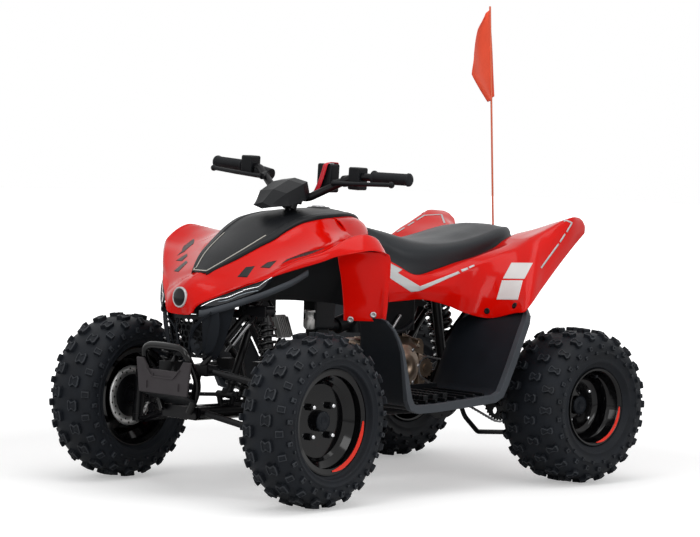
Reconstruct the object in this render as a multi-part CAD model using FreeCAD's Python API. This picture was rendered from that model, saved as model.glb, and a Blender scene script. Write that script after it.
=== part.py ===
import FreeCAD, Part
import math
import os

# Youth sport quad bike, in millimetres.
# X points forward, Y to the rider's left and Z up. The origin is on the ground,
# midway between the two axle lines and on the centre plane.

# Driving dimensions of the chassis
WHEELBASE = 1030.0
FRONT_TRACK = 790.0
REAR_TRACK = 760.0
FRONT_AXLE_X = WHEELBASE / 2
REAR_AXLE_X = -WHEELBASE / 2

# Tyres and rims
FRONT_TYRE_R = 231.0
FRONT_TYRE_WIDTH = 158.0
FRONT_FLANGE_R = 140.0
FRONT_SEAT_R = 127.0
FRONT_RIM_WIDTH = 120.0
FRONT_PLATE_OFFSET = 16.0
REAR_TYRE_R = 222.5
REAR_TYRE_WIDTH = 210.0
REAR_FLANGE_R = 111.0
REAR_SEAT_R = 101.6
REAR_RIM_WIDTH = 180.0
REAR_PLATE_OFFSET = -40.0
LUG_HEIGHT = 11.0
FRONT_LUGS = 20
REAR_LUGS = 18
RIM_WALL = 4.0
BEAD_GAP = 0.3
STUD_PCD = 110.0
STUD_COUNT = 4
STUD_R = 5.0
HUB_CAP_R = 27.5

# Steering
PARKED_STEER_ANGLE = 6.66
COLUMN_TILT = 22.0
COLUMN_FOOT = (455.0, 0.0, 292.0)
COLUMN_R = 11.0
KINGPIN_CASTER = 4.0
KINGPIN_Y = 328.0
STEER_ARM = 45.0
RUNNING_GAP = 0.3

# Handlebar
BAR_R = 11.0
BAR_END = (180.0, 358.0, 878.0)
BAR_ELBOW = (196.0, 176.0, 874.0)
BAR_FOOT_Y = 58.0
BAR_FOOT_Z = 806.0
GRIP_R = 16.5
GRIP_LENGTH = 118.0

STRAP_WALL = 2.0
# Frame tubes
FRAME_TUBE_R = 14.0
THIN_TUBE_R = 9.0
FRAME_HALF_WIDTH = 74.0

# Bodywork
PANEL_WALL = 4.0
PANEL_GAP = 7.0
FLOOR_Z = 246.0
FLOOR_WALL = 5.0
FLOOR_FRONT_X = 150.0
FLOOR_REAR_X = -190.0
FLOOR_RISE = 20.0
TAIL_Z = 668.0
FOOT_INNER_Y = 158.0
FOOT_OUTER_Y = 402.0

# Rear axle
AXLE_R = 15.0
CARRIER_R = 34.0
DISC_WALL = 4.0
DISC_VENTS = 12
REAR_DISC_R = 90.0
REAR_DISC_Y = -150.0
DISC_Y = 358.0
SPROCKET_Y = 96.0
CHAIN_PITCH = 12.7
REAR_TEETH = 36
FRONT_TEETH = 14
ENGINE_SPROCKET_X = -196.0
ENGINE_SPROCKET_Z = 318.0

# Flag
POLE_FOOT = (-662.0, -95.0, 668.3)
POLE_TOP = (-618.0, -95.0, 1380.0)
POLE_R = 3.0
FLAG_BOTTOM_Z = 1103.0


def vec(point):
    return FreeCAD.Vector(*point)


def save(name, shape):
    shape.exportStep("parts/" + name + ".step")


def polygon(points):
    """Closed wire through the points, in order."""
    return Part.makePolygon([vec(p) for p in points] + [vec(points[0])])


def prism(points, direction):
    """Solid made by pushing a flat outline along a direction."""
    return Part.Face(polygon(points)).extrude(vec(direction))


def box(low, high):
    size = [high[i] - low[i] for i in range(3)]
    return Part.makeBox(size[0], size[1], size[2], vec(low))


def rounded_box(low, high, radius, axis=None):
    """Box with rounded edges; with an axis, only the edges along that axis."""
    solid = box(low, high)
    edges = solid.Edges
    if axis is not None:
        edges = [e for e in edges if abs(abs(e.tangentAt(e.FirstParameter).dot(vec(axis))) - 1) < 1e-6]
    return solid.makeFillet(radius, edges)


def rod(start, end, radius):
    """Solid round bar from one point to another."""
    along = vec(end) - vec(start)
    return Part.makeCylinder(radius, along.Length, vec(start), along)


def ring(start, end, outer, inner):
    along = vec(end) - vec(start)
    bore = Part.makeCylinder(inner, along.Length + 2, vec(start) - along.normalize(), along)
    return rod(start, end, outer).cut(bore)


def bent_bar(points, radius, bend):
    """Round bar through the points, with each corner turned on an arc of the bend radius."""
    spots = [vec(p) for p in points]
    pieces = []
    last = spots[0]
    for before, corner, after in zip(spots, spots[1:], spots[2:]):
        back = (before - corner).normalize()
        ahead = (after - corner).normalize()
        turn = math.pi - back.getAngle(ahead)
        trim = bend * math.tan(turn / 2)
        start = corner + back * trim
        inward = (back + ahead).normalize()
        centre = corner + inward * (bend / math.cos(turn / 2))
        hinge = back.cross(ahead).normalize()
        disc = Part.Face(Part.Wire([Part.Circle(start, back, radius).toShape()]))
        pieces.append(rod(last, start, radius))
        pieces.append(disc.revolve(centre, hinge, -math.degrees(turn)))
        last = corner + ahead * trim
    pieces.append(rod(last, spots[-1], radius))
    return fuse(pieces)


def fuse(solids):
    first = solids[0]
    if len(solids) == 1:
        return first
    return first.multiFuse(solids[1:])


def cut(solid, tools):
    return solid.cut(Part.makeCompound(tools))


def mirror_y(shape):
    return shape.mirror(vec((0, 0, 0)), vec((0, 1, 0)))


def both_sides(shape):
    """The shape and its mirror image across the centre plane, as separate solids."""
    return Part.makeCompound([shape, mirror_y(shape)])


def smooth(points):
    curve = Part.BSplineCurve()
    curve.interpolate([vec(p) for p in points])
    return curve.toShape()


def shell_section(points, wall, plane_normal):
    """Thin closed outline: a smooth line through the points and its inner offset."""
    spots = [vec(p) for p in points]
    normal = vec(plane_normal)
    inner = []
    for i, spot in enumerate(spots):
        ahead = spots[min(i + 1, len(spots) - 1)]
        back = spots[max(i - 1, 0)]
        out = normal.cross(ahead - back).normalize()
        inner.append(spot - out * wall)
    far = Part.LineSegment(spots[-1], inner[-1]).toShape()
    near = Part.LineSegment(inner[0], spots[0]).toShape()
    return Part.Wire([smooth(spots), far, smooth(inner[::-1]), near])


def shell_loft(sections, wall, plane_normal=(1, 0, 0), ruled=False):
    """Panel of even wall through a row of section lines."""
    wires = [shell_section(s, wall, plane_normal) for s in sections]
    return Part.makeLoft(wires, True, ruled)


def closed_loft(sections, ruled=False):
    return Part.makeLoft([polygon(s) for s in sections], True, ruled)


def revolve_y(profile, centre_x, centre_z):
    """Solid of revolution about a line along Y; the profile is a list of (radius, y)."""
    points = [(centre_x, y, centre_z + r) for r, y in profile]
    face = Part.Face(polygon(points))
    return face.revolve(vec((centre_x, 0, centre_z)), vec((0, 1, 0)), 360)


def turned(shape, base, axis, angle):
    copy = shape.copy()
    copy.rotate(vec(base), vec(axis), angle)
    return copy


COLUMN_AXIS = (-math.sin(math.radians(COLUMN_TILT)), 0.0, math.cos(math.radians(COLUMN_TILT)))
KINGPIN_AXIS = (-math.sin(math.radians(KINGPIN_CASTER)), 0.0, math.cos(math.radians(KINGPIN_CASTER)))


def on_kingpin(height, side):
    """Point on a front wheel's steering axis at a height above the ground."""
    along = (height - FRONT_TYRE_R) / KINGPIN_AXIS[2]
    return (FRONT_AXLE_X + KINGPIN_AXIS[0] * along, side * KINGPIN_Y, height)


def steered_column(shape):
    return turned(shape, COLUMN_FOOT, COLUMN_AXIS, PARKED_STEER_ANGLE)


def steered_wheel(shape, side):
    return turned(shape, on_kingpin(FRONT_TYRE_R, side), KINGPIN_AXIS, PARKED_STEER_ANGLE)


# Wheels
def carcass(radius, width, flange_r, seat_r, rim_width, centre_y):
    """Outline of the tyre's body under its lugs, as (radius, y) pairs."""
    half = width / 2
    bead = rim_width / 2 - RIM_WALL - BEAD_GAP
    heel = bead - 2
    low = seat_r + BEAD_GAP
    side = (radius + flange_r) / 2
    crown = radius - LUG_HEIGHT
    profile = [
        (low, -heel), (flange_r + 1, -bead), (flange_r + 10, -bead - 5), (side, -half + 1),
        (crown - 26, -half + 3), (crown - 8, -half * 0.8), (crown, -half * 0.4),
    ]
    profile += [(r, -y) for r, y in profile[::-1]]
    return [(r, centre_y + y) for r, y in profile]


def lug(outline, half_length, centre, angle):
    """One tread block: a flat outline of (y, radius) pairs across the tyre, at an angle round it."""
    x, y, z = centre
    block = prism([(x - half_length, y + across, z + r) for across, r in outline],
                  (2 * half_length, 0, 0))
    return turned(block, centre, (0, 1, 0), angle)


def tyre(radius, width, flange_r, seat_r, rim_width, centre, count):
    """Knobbly tyre: a turned body with a middle row of lugs and a staggered row over each shoulder."""
    half = width / 2
    root = radius - LUG_HEIGHT - 8
    middle = [(-half * 0.22, root), (-half * 0.22, radius), (half * 0.22, radius), (half * 0.22, root)]
    shoulder = [(half * 0.4, root), (half * 0.4, radius - 2), (half * 0.78, radius - 5),
                (half, radius - 26),
                (half, radius - 48), (half * 0.86, root - 12)]
    step = 360 / count
    lugs = []
    for i in range(count):
        lugs.append(lug(middle, radius * 0.066, centre, i * step))
        for side in (1, -1):
            lugs.append(lug([(side * y, r) for y, r in shoulder], radius * 0.062, centre,
                            (i + 0.5) * step))
    body = revolve_y(carcass(radius, width, flange_r, seat_r, rim_width, centre[1]), centre[0], centre[2])
    return body.multiFuse(lugs)


def rim_profile(flange_r, seat_r, rim_width, plate_y, side, centre_y, hub_r):
    """Pressed steel rim: two flanges, bead seats, a drop centre and a dished plate."""
    half = rim_width / 2
    drop_r = seat_r - 18
    wall = RIM_WALL
    plate_r = drop_r - 4
    outer = [
        (flange_r, half), (flange_r, half - wall), (seat_r, half - wall - 2), (seat_r, half - 26),
        (drop_r, half - 40), (drop_r, -half + 40), (seat_r, -half + 26), (seat_r, -half + wall + 2),
        (flange_r, -half + wall), (flange_r, -half),
    ]
    inner = [
        (flange_r - wall, -half), (seat_r - wall, -half + 3), (seat_r - wall, -half + 24),
        (drop_r - wall, -half + 38), (drop_r - wall, plate_y - wall), (hub_r, plate_y - wall),
        (hub_r, plate_y), (drop_r - wall - 8, plate_y), (drop_r - wall, plate_y + 8),
        (drop_r - wall, half - 38), (seat_r - wall, half - 24), (seat_r - wall, half - 3),
        (flange_r - wall, half),
    ]
    return [(r, centre_y + side * y) for r, y in outer + inner]


def wheel(side, front):
    """Tyre and rim of one wheel, standing straight ahead."""
    if front:
        centre = (FRONT_AXLE_X, FRONT_TRACK / 2, FRONT_TYRE_R)
        sizes = (FRONT_FLANGE_R, FRONT_SEAT_R, FRONT_RIM_WIDTH)
        radius, width, plate_y, count = FRONT_TYRE_R, FRONT_TYRE_WIDTH, FRONT_PLATE_OFFSET, FRONT_LUGS
    else:
        centre = (REAR_AXLE_X, REAR_TRACK / 2, REAR_TYRE_R)
        sizes = (REAR_FLANGE_R, REAR_SEAT_R, REAR_RIM_WIDTH)
        radius, width, plate_y, count = REAR_TYRE_R, REAR_TYRE_WIDTH, REAR_PLATE_OFFSET, REAR_LUGS
    rubber = tyre(radius, width, *sizes, centre, count)
    profile = rim_profile(*sizes, plate_y, 1, centre[1], HUB_CAP_R + 1)
    plate = centre[1] + plate_y
    holes = []
    for i in range(STUD_COUNT):
        angle = math.radians(45 + 360 * i / STUD_COUNT)
        x = centre[0] + STUD_PCD / 2 * math.cos(angle)
        z = centre[2] + STUD_PCD / 2 * math.sin(angle)
        holes.append(rod((x, plate - 20, z), (x, plate + 20, z), STUD_R + RUNNING_GAP))
    rim = cut(revolve_y(profile, centre[0], centre[2]), holes)
    if side > 0:
        return rubber, rim
    return mirror_y(rubber), mirror_y(rim)


def hub(side, front):
    """Hub with its flange, wheel studs, nuts and centre cap, and the brake disc on a front one."""
    if front:
        centre_x, centre_z = FRONT_AXLE_X, FRONT_TYRE_R
        plate = FRONT_TRACK / 2 + FRONT_PLATE_OFFSET
        inboard = KINGPIN_Y + STUB_LENGTH + EYE_GAP
    else:
        centre_x, centre_z = REAR_AXLE_X, REAR_TYRE_R
        plate = REAR_TRACK / 2 + REAR_PLATE_OFFSET
        inboard = plate - 56
    back = plate - RIM_WALL - RUNNING_GAP
    pieces = [
        rod((centre_x, back - 8, centre_z), (centre_x, back, centre_z), STUD_PCD / 2 + 12),
        rod((centre_x, inboard, centre_z), (centre_x, back, centre_z), HUB_CAP_R + 3),
        rod((centre_x, back, centre_z), (centre_x, plate + 14, centre_z), HUB_CAP_R),
    ]
    if front:
        pieces.append(brake_disc(centre_x, DISC_Y, centre_z, FRONT_DISC_R))
    for i in range(STUD_COUNT):
        angle = math.radians(45 + 360 * i / STUD_COUNT)
        x = centre_x + STUD_PCD / 2 * math.cos(angle)
        z = centre_z + STUD_PCD / 2 * math.sin(angle)
        pieces.append(rod((x, back - 1, z), (x, plate + 16, z), STUD_R))
        nut = [(x + 10 * math.cos(math.radians(60 * k)), plate + RUNNING_GAP,
                z + 10 * math.sin(math.radians(60 * k)))
               for k in range(6)]
        pieces.append(prism(nut, (0, 11, 0)))
    solid = fuse(pieces)
    return solid if side > 0 else mirror_y(solid)


def brake_disc(x, y, z, radius):
    """Brake disc with a ring of round vents."""
    disc = rod((x, y, z), (x, y + DISC_WALL, z), radius)
    vents = []
    for i in range(DISC_VENTS):
        angle = 2 * math.pi * i / DISC_VENTS
        for reach in (radius - 10, radius - 22):
            turn = angle + reach * 0.02
            vx, vz = x + reach * math.cos(turn), z + reach * math.sin(turn)
            vents.append(rod((vx, y - 1, vz), (vx, y + DISC_WALL + 1, vz), 3))
    return cut(disc, vents)


# Front suspension
ARM_FRONT = 95.0
ARM_REAR = 110.0
LOWER_ARM_Z = 172.0
LOWER_PIVOT_Y = 62.0
LOWER_PIVOT_Z = 226.0
UPPER_ARM_Z = 298.0
UPPER_PIVOT_Y = 88.0
UPPER_PIVOT_Z = 340.0
ARM_TUBE_R = 9.0
ARM_EYE_R = 15.0
ARM_EYE_HALF = 16.0
BALL_GAP = 0.4
EYE_GAP = 0.5
BRACKET_WALL = 4.0
BALL_R = 15.0
BALL_HALF = 10.0
POST_R = 16.0
STUB_R = 20.0
STUB_LENGTH = 24.0
SHOCK_TOP = (492.0, 180.0, 502.0)
SHOCK_FOOT = (526.0, 240.0, 210.0)
SHOCK_EYE_R = 13.0
SHOCK_SPRING_R = 18.0
FRONT_DISC_R = 84.0


def wishbone(apex_z, pivot_y, pivot_z):
    """A-shaped arm of the left side: two tubes from the frame to the ball joint."""
    apex = on_kingpin(apex_z, 1)
    inner_end = KINGPIN_Y - BALL_R + 3
    tip = (apex[0], inner_end - 24, apex_z)
    pieces = [
        rod(tip, (apex[0], inner_end, apex_z), ARM_TUBE_R - 1),
        rod(on_kingpin(apex_z - BALL_HALF, 1), on_kingpin(apex_z + BALL_HALF, 1), BALL_R),
    ]
    for foot_x in (FRONT_AXLE_X + ARM_FRONT, FRONT_AXLE_X - ARM_REAR):
        pieces.append(rod((foot_x, pivot_y, pivot_z), tip, ARM_TUBE_R))
        eye_from = (foot_x - ARM_EYE_HALF, pivot_y, pivot_z)
        eye_to = (foot_x + ARM_EYE_HALF, pivot_y, pivot_z)
        pieces.append(rod(eye_from, eye_to, ARM_EYE_R))
    return fuse(pieces)


def lower_wishbone():
    """Lower arm of the left side with the damper's bracket on its front tube."""
    arm = wishbone(LOWER_ARM_Z, LOWER_PIVOT_Y, LOWER_PIVOT_Z)
    x, y, z = SHOCK_FOOT
    half = SHOCK_EYE_R + EYE_GAP
    web = box((x - half - 22, y - 7, z - 34), (x + half + BRACKET_WALL, y + 7, z - SHOCK_EYE_R - 2))
    plates = []
    for start in (x - half - BRACKET_WALL, x + half):
        plates.append(box((start, y - 10, z - 30), (start + BRACKET_WALL, y + 10, z + 10)))
    return fuse([arm, web] + plates)


def coil_over(foot, top, body_r, spring_r, end_r):
    """Damper and spring as one solid: eyes, rod, body, spring seats and coils."""
    along = vec(top) - vec(foot)
    length = along.Length
    way = along.normalize()

    def at(distance):
        return tuple(vec(foot) + way * distance)

    pieces = [
        rod(at(0), at(length), body_r * 0.6),
        rod(at(length * 0.6), at(length - 18), body_r),
        rod(at(24), at(32), spring_r),
        rod(at(length - 40), at(length - 30), spring_r),
        rod((foot[0] - end_r, foot[1], foot[2]), (foot[0] + end_r, foot[1], foot[2]), end_r),
        rod((top[0] - end_r, top[1], top[2]), (top[0] + end_r, top[1], top[2]), end_r),
    ]
    coils = 6
    pitch = (length - 72) / coils
    for i in range(coils):
        start = 32 + pitch * (i + 0.25)
        pieces.append(rod(at(start), at(start + pitch * 0.5), spring_r - 2))
    return fuse(pieces)


TIE_EYE_R = 13.0
TIE_PIN_R = 6.0
TIE_PIN_GAP = 2.3
TIE_ROD_R = 5.5
TIE_EYE_HEIGHT = 10.0
PITMAN_WALL = 8.0
PITMAN_AIR = 8.0
PIN_HEAD = 3.0
OUTER_PIN_R = 5.0
OUTER_EYE_R = 11.0
OUTER_EYE_Z = 236.9
OUTER_EYE_HEIGHT = 13.0
STEER_BOSS_HALF = 8.5
STEER_ARM_Z = 221.0


def arm_pin(distance):
    """Point on the pin of the left steering arm, straight ahead, off the middle of the rod's eye."""
    return tuple(vec((FRONT_AXLE_X - STEER_ARM, KINGPIN_Y, OUTER_EYE_Z)) + vec(KINGPIN_AXIS) * distance)


def knuckle():
    """Left steering knuckle: kingpin post, stub axle, steering arm with its pin, and caliper."""
    low = on_kingpin(LOWER_ARM_Z + BALL_HALF + BALL_GAP, 1)
    high = on_kingpin(UPPER_ARM_Z - BALL_HALF - BALL_GAP, 1)
    axle = (FRONT_AXLE_X, KINGPIN_Y, FRONT_TYRE_R)
    boss = STEER_ARM_Z - OUTER_EYE_Z
    pieces = [
        rod(low, high, POST_R),
        rod(axle, (FRONT_AXLE_X, KINGPIN_Y + STUB_LENGTH, FRONT_TYRE_R), STUB_R),
        rod((FRONT_AXLE_X, KINGPIN_Y, STEER_ARM_Z), arm_pin(boss), STEER_BOSS_HALF - 0.5),
        rod(arm_pin(boss - STEER_BOSS_HALF), arm_pin(boss + STEER_BOSS_HALF), OUTER_EYE_R),
        rod(arm_pin(boss), arm_pin(OUTER_EYE_HEIGHT / 2 + PIN_HEAD), OUTER_PIN_R),
        caliper(axle, FRONT_DISC_R, DISC_Y, -135, 8),
        rod((FRONT_AXLE_X - 3, KINGPIN_Y, 268), (FRONT_AXLE_X - 46, DISC_Y - 8, 272), 8),
    ]
    return fuse(pieces)


def caliper(centre, radius, disc_y, angle, reach):
    """Brake caliper that straddles a disc's edge: a block with a slot, and its two pistons' bosses."""
    x, y, z = centre
    near = radius - 24
    block = box((x + near, disc_y - 12, z - 26), (x + radius + reach, disc_y + DISC_WALL + 9, z + 26))
    slot = box((x + near - 5, disc_y - CALIPER_AIR, z - 30),
               (x + radius + CALIPER_AIR, disc_y + DISC_WALL + CALIPER_AIR, z + 30))
    boss = rod((x + radius - 12, disc_y - 18, z), (x + radius - 12, disc_y - 11, z), 15)
    return turned(fuse([block, boss]).cut(slot), centre, (0, 1, 0), angle)


CALIPER_AIR = 2.5
def column_point(distance, back=0.0, left=0.0):
    """Point at a distance up the steering axis, and off it to the rear and the left."""
    tilt = math.radians(COLUMN_TILT)
    x = COLUMN_FOOT[0] - math.sin(tilt) * distance - math.cos(tilt) * back
    z = COLUMN_FOOT[2] + math.cos(tilt) * distance - math.sin(tilt) * back
    return (x, left, z)


COLUMN_BELOW = 36.0
BEARING_HEIGHT = 16.0
BEARING_R = 20.0
CLAMP_WALL = 5.0
BAR_DISTANCE = (BAR_FOOT_Z - COLUMN_FOOT[2]) / math.cos(math.radians(COLUMN_TILT))


def steering_column():
    """Shaft from the lower bearing to the bar clamp, with the pitman arm and its two pins."""
    pin_reach = PITMAN_WALL / 2 + PITMAN_AIR + TIE_EYE_HEIGHT + PITMAN_AIR
    pieces = [
        rod(column_point(-COLUMN_BELOW), column_point(BAR_DISTANCE - BAR_R - CLAMP_WALL), COLUMN_R),
        rod(column_point(-PITMAN_WALL / 2), column_point(PITMAN_WALL / 2), 18),
        rod(column_point(-PITMAN_WALL / 2, STEER_ARM), column_point(PITMAN_WALL / 2, STEER_ARM), 14),
        rod(column_point(-pin_reach, STEER_ARM), column_point(pin_reach, STEER_ARM), TIE_PIN_R),
    ]
    corners = [column_point(-PITMAN_WALL / 2, back, left)
               for back, left in ((0, -16), (STEER_ARM, -12), (STEER_ARM, 12), (0, 16))]
    pieces.append(prism(corners, vec(column_point(PITMAN_WALL)) - vec(column_point(0))))
    for way in (-1, 1):
        start = way * pin_reach
        pieces.append(rod(column_point(start, STEER_ARM),
                          column_point(start + way * PIN_HEAD, STEER_ARM), 10))
    clamp_low = column_point(BAR_DISTANCE - BAR_R - 26)
    clamp_high = column_point(BAR_DISTANCE - BAR_R - CLAMP_WALL)
    pieces.append(rod(clamp_low, clamp_high, 20))
    return fuse(pieces)


def parked(point, base, axis):
    """Where a point lies once it is turned with the parked steering."""
    turn = FreeCAD.Rotation(vec(axis), PARKED_STEER_ANGLE)
    return tuple(turn.multVec(vec(point) - vec(base)) + vec(base))


def tie_rod(side):
    """Rod from the knuckle's steering arm to its pin on the pitman arm."""
    lift = side * (PITMAN_WALL / 2 + PITMAN_AIR + TIE_EYE_HEIGHT / 2)

    def inner(offset):
        return parked(column_point(lift + offset, STEER_ARM), COLUMN_FOOT, COLUMN_AXIS)

    def outer(offset):
        x, y, z = arm_pin(offset)
        return parked((x, side * y, z), on_kingpin(FRONT_TYRE_R, side), KINGPIN_AXIS)

    body = fuse([
        rod(inner(0), outer(0), TIE_ROD_R),
        rod(inner(-TIE_EYE_HEIGHT / 2), inner(TIE_EYE_HEIGHT / 2), TIE_EYE_R),
        rod(outer(-OUTER_EYE_HEIGHT / 2), outer(OUTER_EYE_HEIGHT / 2), OUTER_EYE_R),
    ])
    bores = [
        rod(inner(-TIE_EYE_HEIGHT), inner(TIE_EYE_HEIGHT), TIE_PIN_R + TIE_PIN_GAP),
        rod(outer(-OUTER_EYE_HEIGHT), outer(OUTER_EYE_HEIGHT), OUTER_PIN_R + RUNNING_GAP),
    ]
    return cut(body, bores)


def bar_tube(radius):
    """The bent bar at a radius, also used to cut its way through what it carries."""
    foot = (column_point(BAR_DISTANCE)[0], BAR_FOOT_Y, BAR_FOOT_Z)
    points = [BAR_END, BAR_ELBOW, foot]
    points += [(x, -y, z) for x, y, z in points[::-1]]
    return bent_bar(points, radius, 40)


def bar_clamp(extra):
    """Block that holds the bar on top of the column, square to the steering axis."""
    low = BAR_DISTANCE - BAR_R - CLAMP_WALL - extra
    high = BAR_DISTANCE + BAR_R + CLAMP_WALL + extra
    half_x, half_y = 18 + extra, 24 + extra
    corners = [column_point(low, back, left)
               for back, left in ((-half_x, -half_y), (half_x, -half_y), (half_x, half_y),
                                  (-half_x, half_y))]
    return prism(corners, vec(column_point(high)) - vec(column_point(low)))


def handlebar():
    return fuse([bar_tube(BAR_R), bar_clamp(0)])


def bar_point(share, side):
    """Point on the straight outer stretch of the bar; share 0 is its tip and 1 its elbow."""
    spot = [BAR_END[i] + (BAR_ELBOW[i] - BAR_END[i]) * share for i in range(3)]
    return (spot[0], side * spot[1], spot[2])


def grips():
    pieces = []
    reach = abs(BAR_END[1] - BAR_ELBOW[1])
    for side in (1, -1):
        start = bar_point(-4 / reach, side)
        end = bar_point(GRIP_LENGTH / reach, side)
        grip = fuse([rod(start, end, GRIP_R), rod(start, bar_point(5 / reach, side), GRIP_R + 3),
                     rod(bar_point((GRIP_LENGTH - 6) / reach, side), end, GRIP_R + 4)])
        core = rod(bar_point(0, side), bar_point(1, side), BAR_R + BEAD_GAP)
        pieces.append(grip.cut(core))
    return Part.makeCompound(pieces)


SWITCH_BOX = ((172.0, 166.0, 838.0), (212.0, 206.0, 900.0))
RESERVOIR_BOX = ((178.0, 56.0, 824.0), (216.0, 108.0, 903.0))
THROTTLE_BOX = ((172.0, 196.0, 852.0), (214.0, 236.0, 906.0))
LEVER_ROOT = (236.0, 132.0, 852.0)
LEVER_TIP = (222.0, 332.0, 862.0)
LEVER_R = 6.0


def controls(side):
    """Switch or throttle box, reservoir and hand lever on one end of the bar."""
    boxes = [SWITCH_BOX, RESERVOIR_BOX] if side > 0 else [THROTTLE_BOX]
    pieces = [rounded_box(low, high, 5) for low, high in boxes]
    perch_end = (LEVER_ROOT[0] - 44, LEVER_ROOT[1] + 16, LEVER_ROOT[2] + 10)
    bend = tuple((LEVER_ROOT[i] + LEVER_TIP[i]) / 2 for i in range(3))
    pieces += [
        rod(perch_end, LEVER_ROOT, 9),
        rod((perch_end[0], perch_end[1] - 12, perch_end[2] - 4),
            (perch_end[0], perch_end[1] + 40, perch_end[2] + 4), 16),
        rod(LEVER_ROOT, (bend[0] + 6, bend[1], bend[2]), LEVER_R),
        rod((bend[0] + 6, bend[1], bend[2]), LEVER_TIP, LEVER_R),
        Part.makeSphere(LEVER_R + 3, vec(LEVER_TIP)),
        Part.makeSphere(LEVER_R, vec((bend[0] + 6, bend[1], bend[2]))),
    ]
    solid = fuse(pieces).cut(bar_tube(BAR_R + BEAD_GAP))
    if side > 0:
        return solid
    return mirror_y(solid)


def instrument_pod():
    sections = []
    for x, half, low, high in ((372, 34, 772, 790), (330, 62, 776, 826), (270, 70, 792, 852),
                               (244, 60, 806, 858)):
        sections.append([(x, -half, low + 8), (x, -half * 0.8, high - 8), (x, 0, high),
                         (x, half * 0.8, high - 8), (x, half, low + 8), (x, 0, low)])
    shell = closed_loft(sections, True)
    shell = shell.cut(rod(column_point(BAR_DISTANCE - 60), column_point(BAR_DISTANCE - 2), 23))
    return shell.cut(bar_tube(BAR_R + RUNNING_GAP)).cut(bar_clamp(RUNNING_GAP))


def strap():
    """Ribbed lock strap, hooked on the reservoir and hanging to the bar's clamp."""
    low, high = RESERVOIR_BOX
    x = low[0] - STRAP_WALL - RUNNING_GAP
    corners = [(x, low[1] + 8, high[2]), (x, low[1] + 24, high[2]), (x, low[1] + 2, low[2] + 4),
               (x, low[1] - 12, low[2] + 4)]
    return prism(corners, (STRAP_WALL, 0, 0))


# Frame
RAIL_FRONT_Y = 28.0
RAIL_Z = 222.0
CRADLE_Z = 200.0
SPLIT_X = 352.0
SEAT_RAIL_FRONT = (-120.0, 85.0, 548.0)
SEAT_RAIL_REAR = (-600.0, 92.0, 649.9)
TOWER_Z = 488.0


def rail():
    """Left lower rail, from the nose to the swing arm and up to the seat rail."""
    points = [
        (634, RAIL_FRONT_Y, RAIL_Z), (400, RAIL_FRONT_Y, RAIL_Z), (236, FRAME_HALF_WIDTH, CRADLE_Z),
        (-215, FRAME_HALF_WIDTH, CRADLE_Z), (-285, FRAME_HALF_WIDTH, 330), (-235, 84, 552),
    ]
    return bent_bar(points, FRAME_TUBE_R, 45)


def spine():
    """Left upper tube, from the damper tower over the engine to the tail."""
    points = [(478, 92, 494), (300, 52, 640), (70, 60, 600), SEAT_RAIL_FRONT, SEAT_RAIL_REAR]
    return bent_bar(points, FRAME_TUBE_R, 60)


def pivot_bracket(x, y, z, root_y, reach_x):
    """Two plates that hold a wishbone's eye, on a web reaching to the upright."""
    half = ARM_EYE_HALF + EYE_GAP + BRACKET_WALL
    web = box((min(x - half, reach_x), root_y, z - 15),
              (max(x + half, reach_x), y - ARM_EYE_R - EYE_GAP, z + 15))
    plates = []
    for start in (x - half, x + half - BRACKET_WALL):
        plates.append(box((start, root_y, z - 14), (start + BRACKET_WALL, y + 12, z + 14)))
    return [web] + plates


UPRIGHT_REAR_X = 372.0
UPRIGHT_FRONT_X = 622.0


def trimmed(stay, start, skin, way):
    """The stretch of a stay that begins at its tube, ended just short of what it carries."""
    pieces = stay.cut(skin).Solids
    first = min(pieces, key=lambda piece: piece.distToShape(Part.Vertex(vec(start)))[0])
    first.translate(vec(way).normalize() * -RUNNING_GAP)
    return first


def straight_stay(start, end, skin):
    way = vec(end) - vec(start)
    return trimmed(rod(start, end, STAY_R), start, skin, tuple(way))


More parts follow.
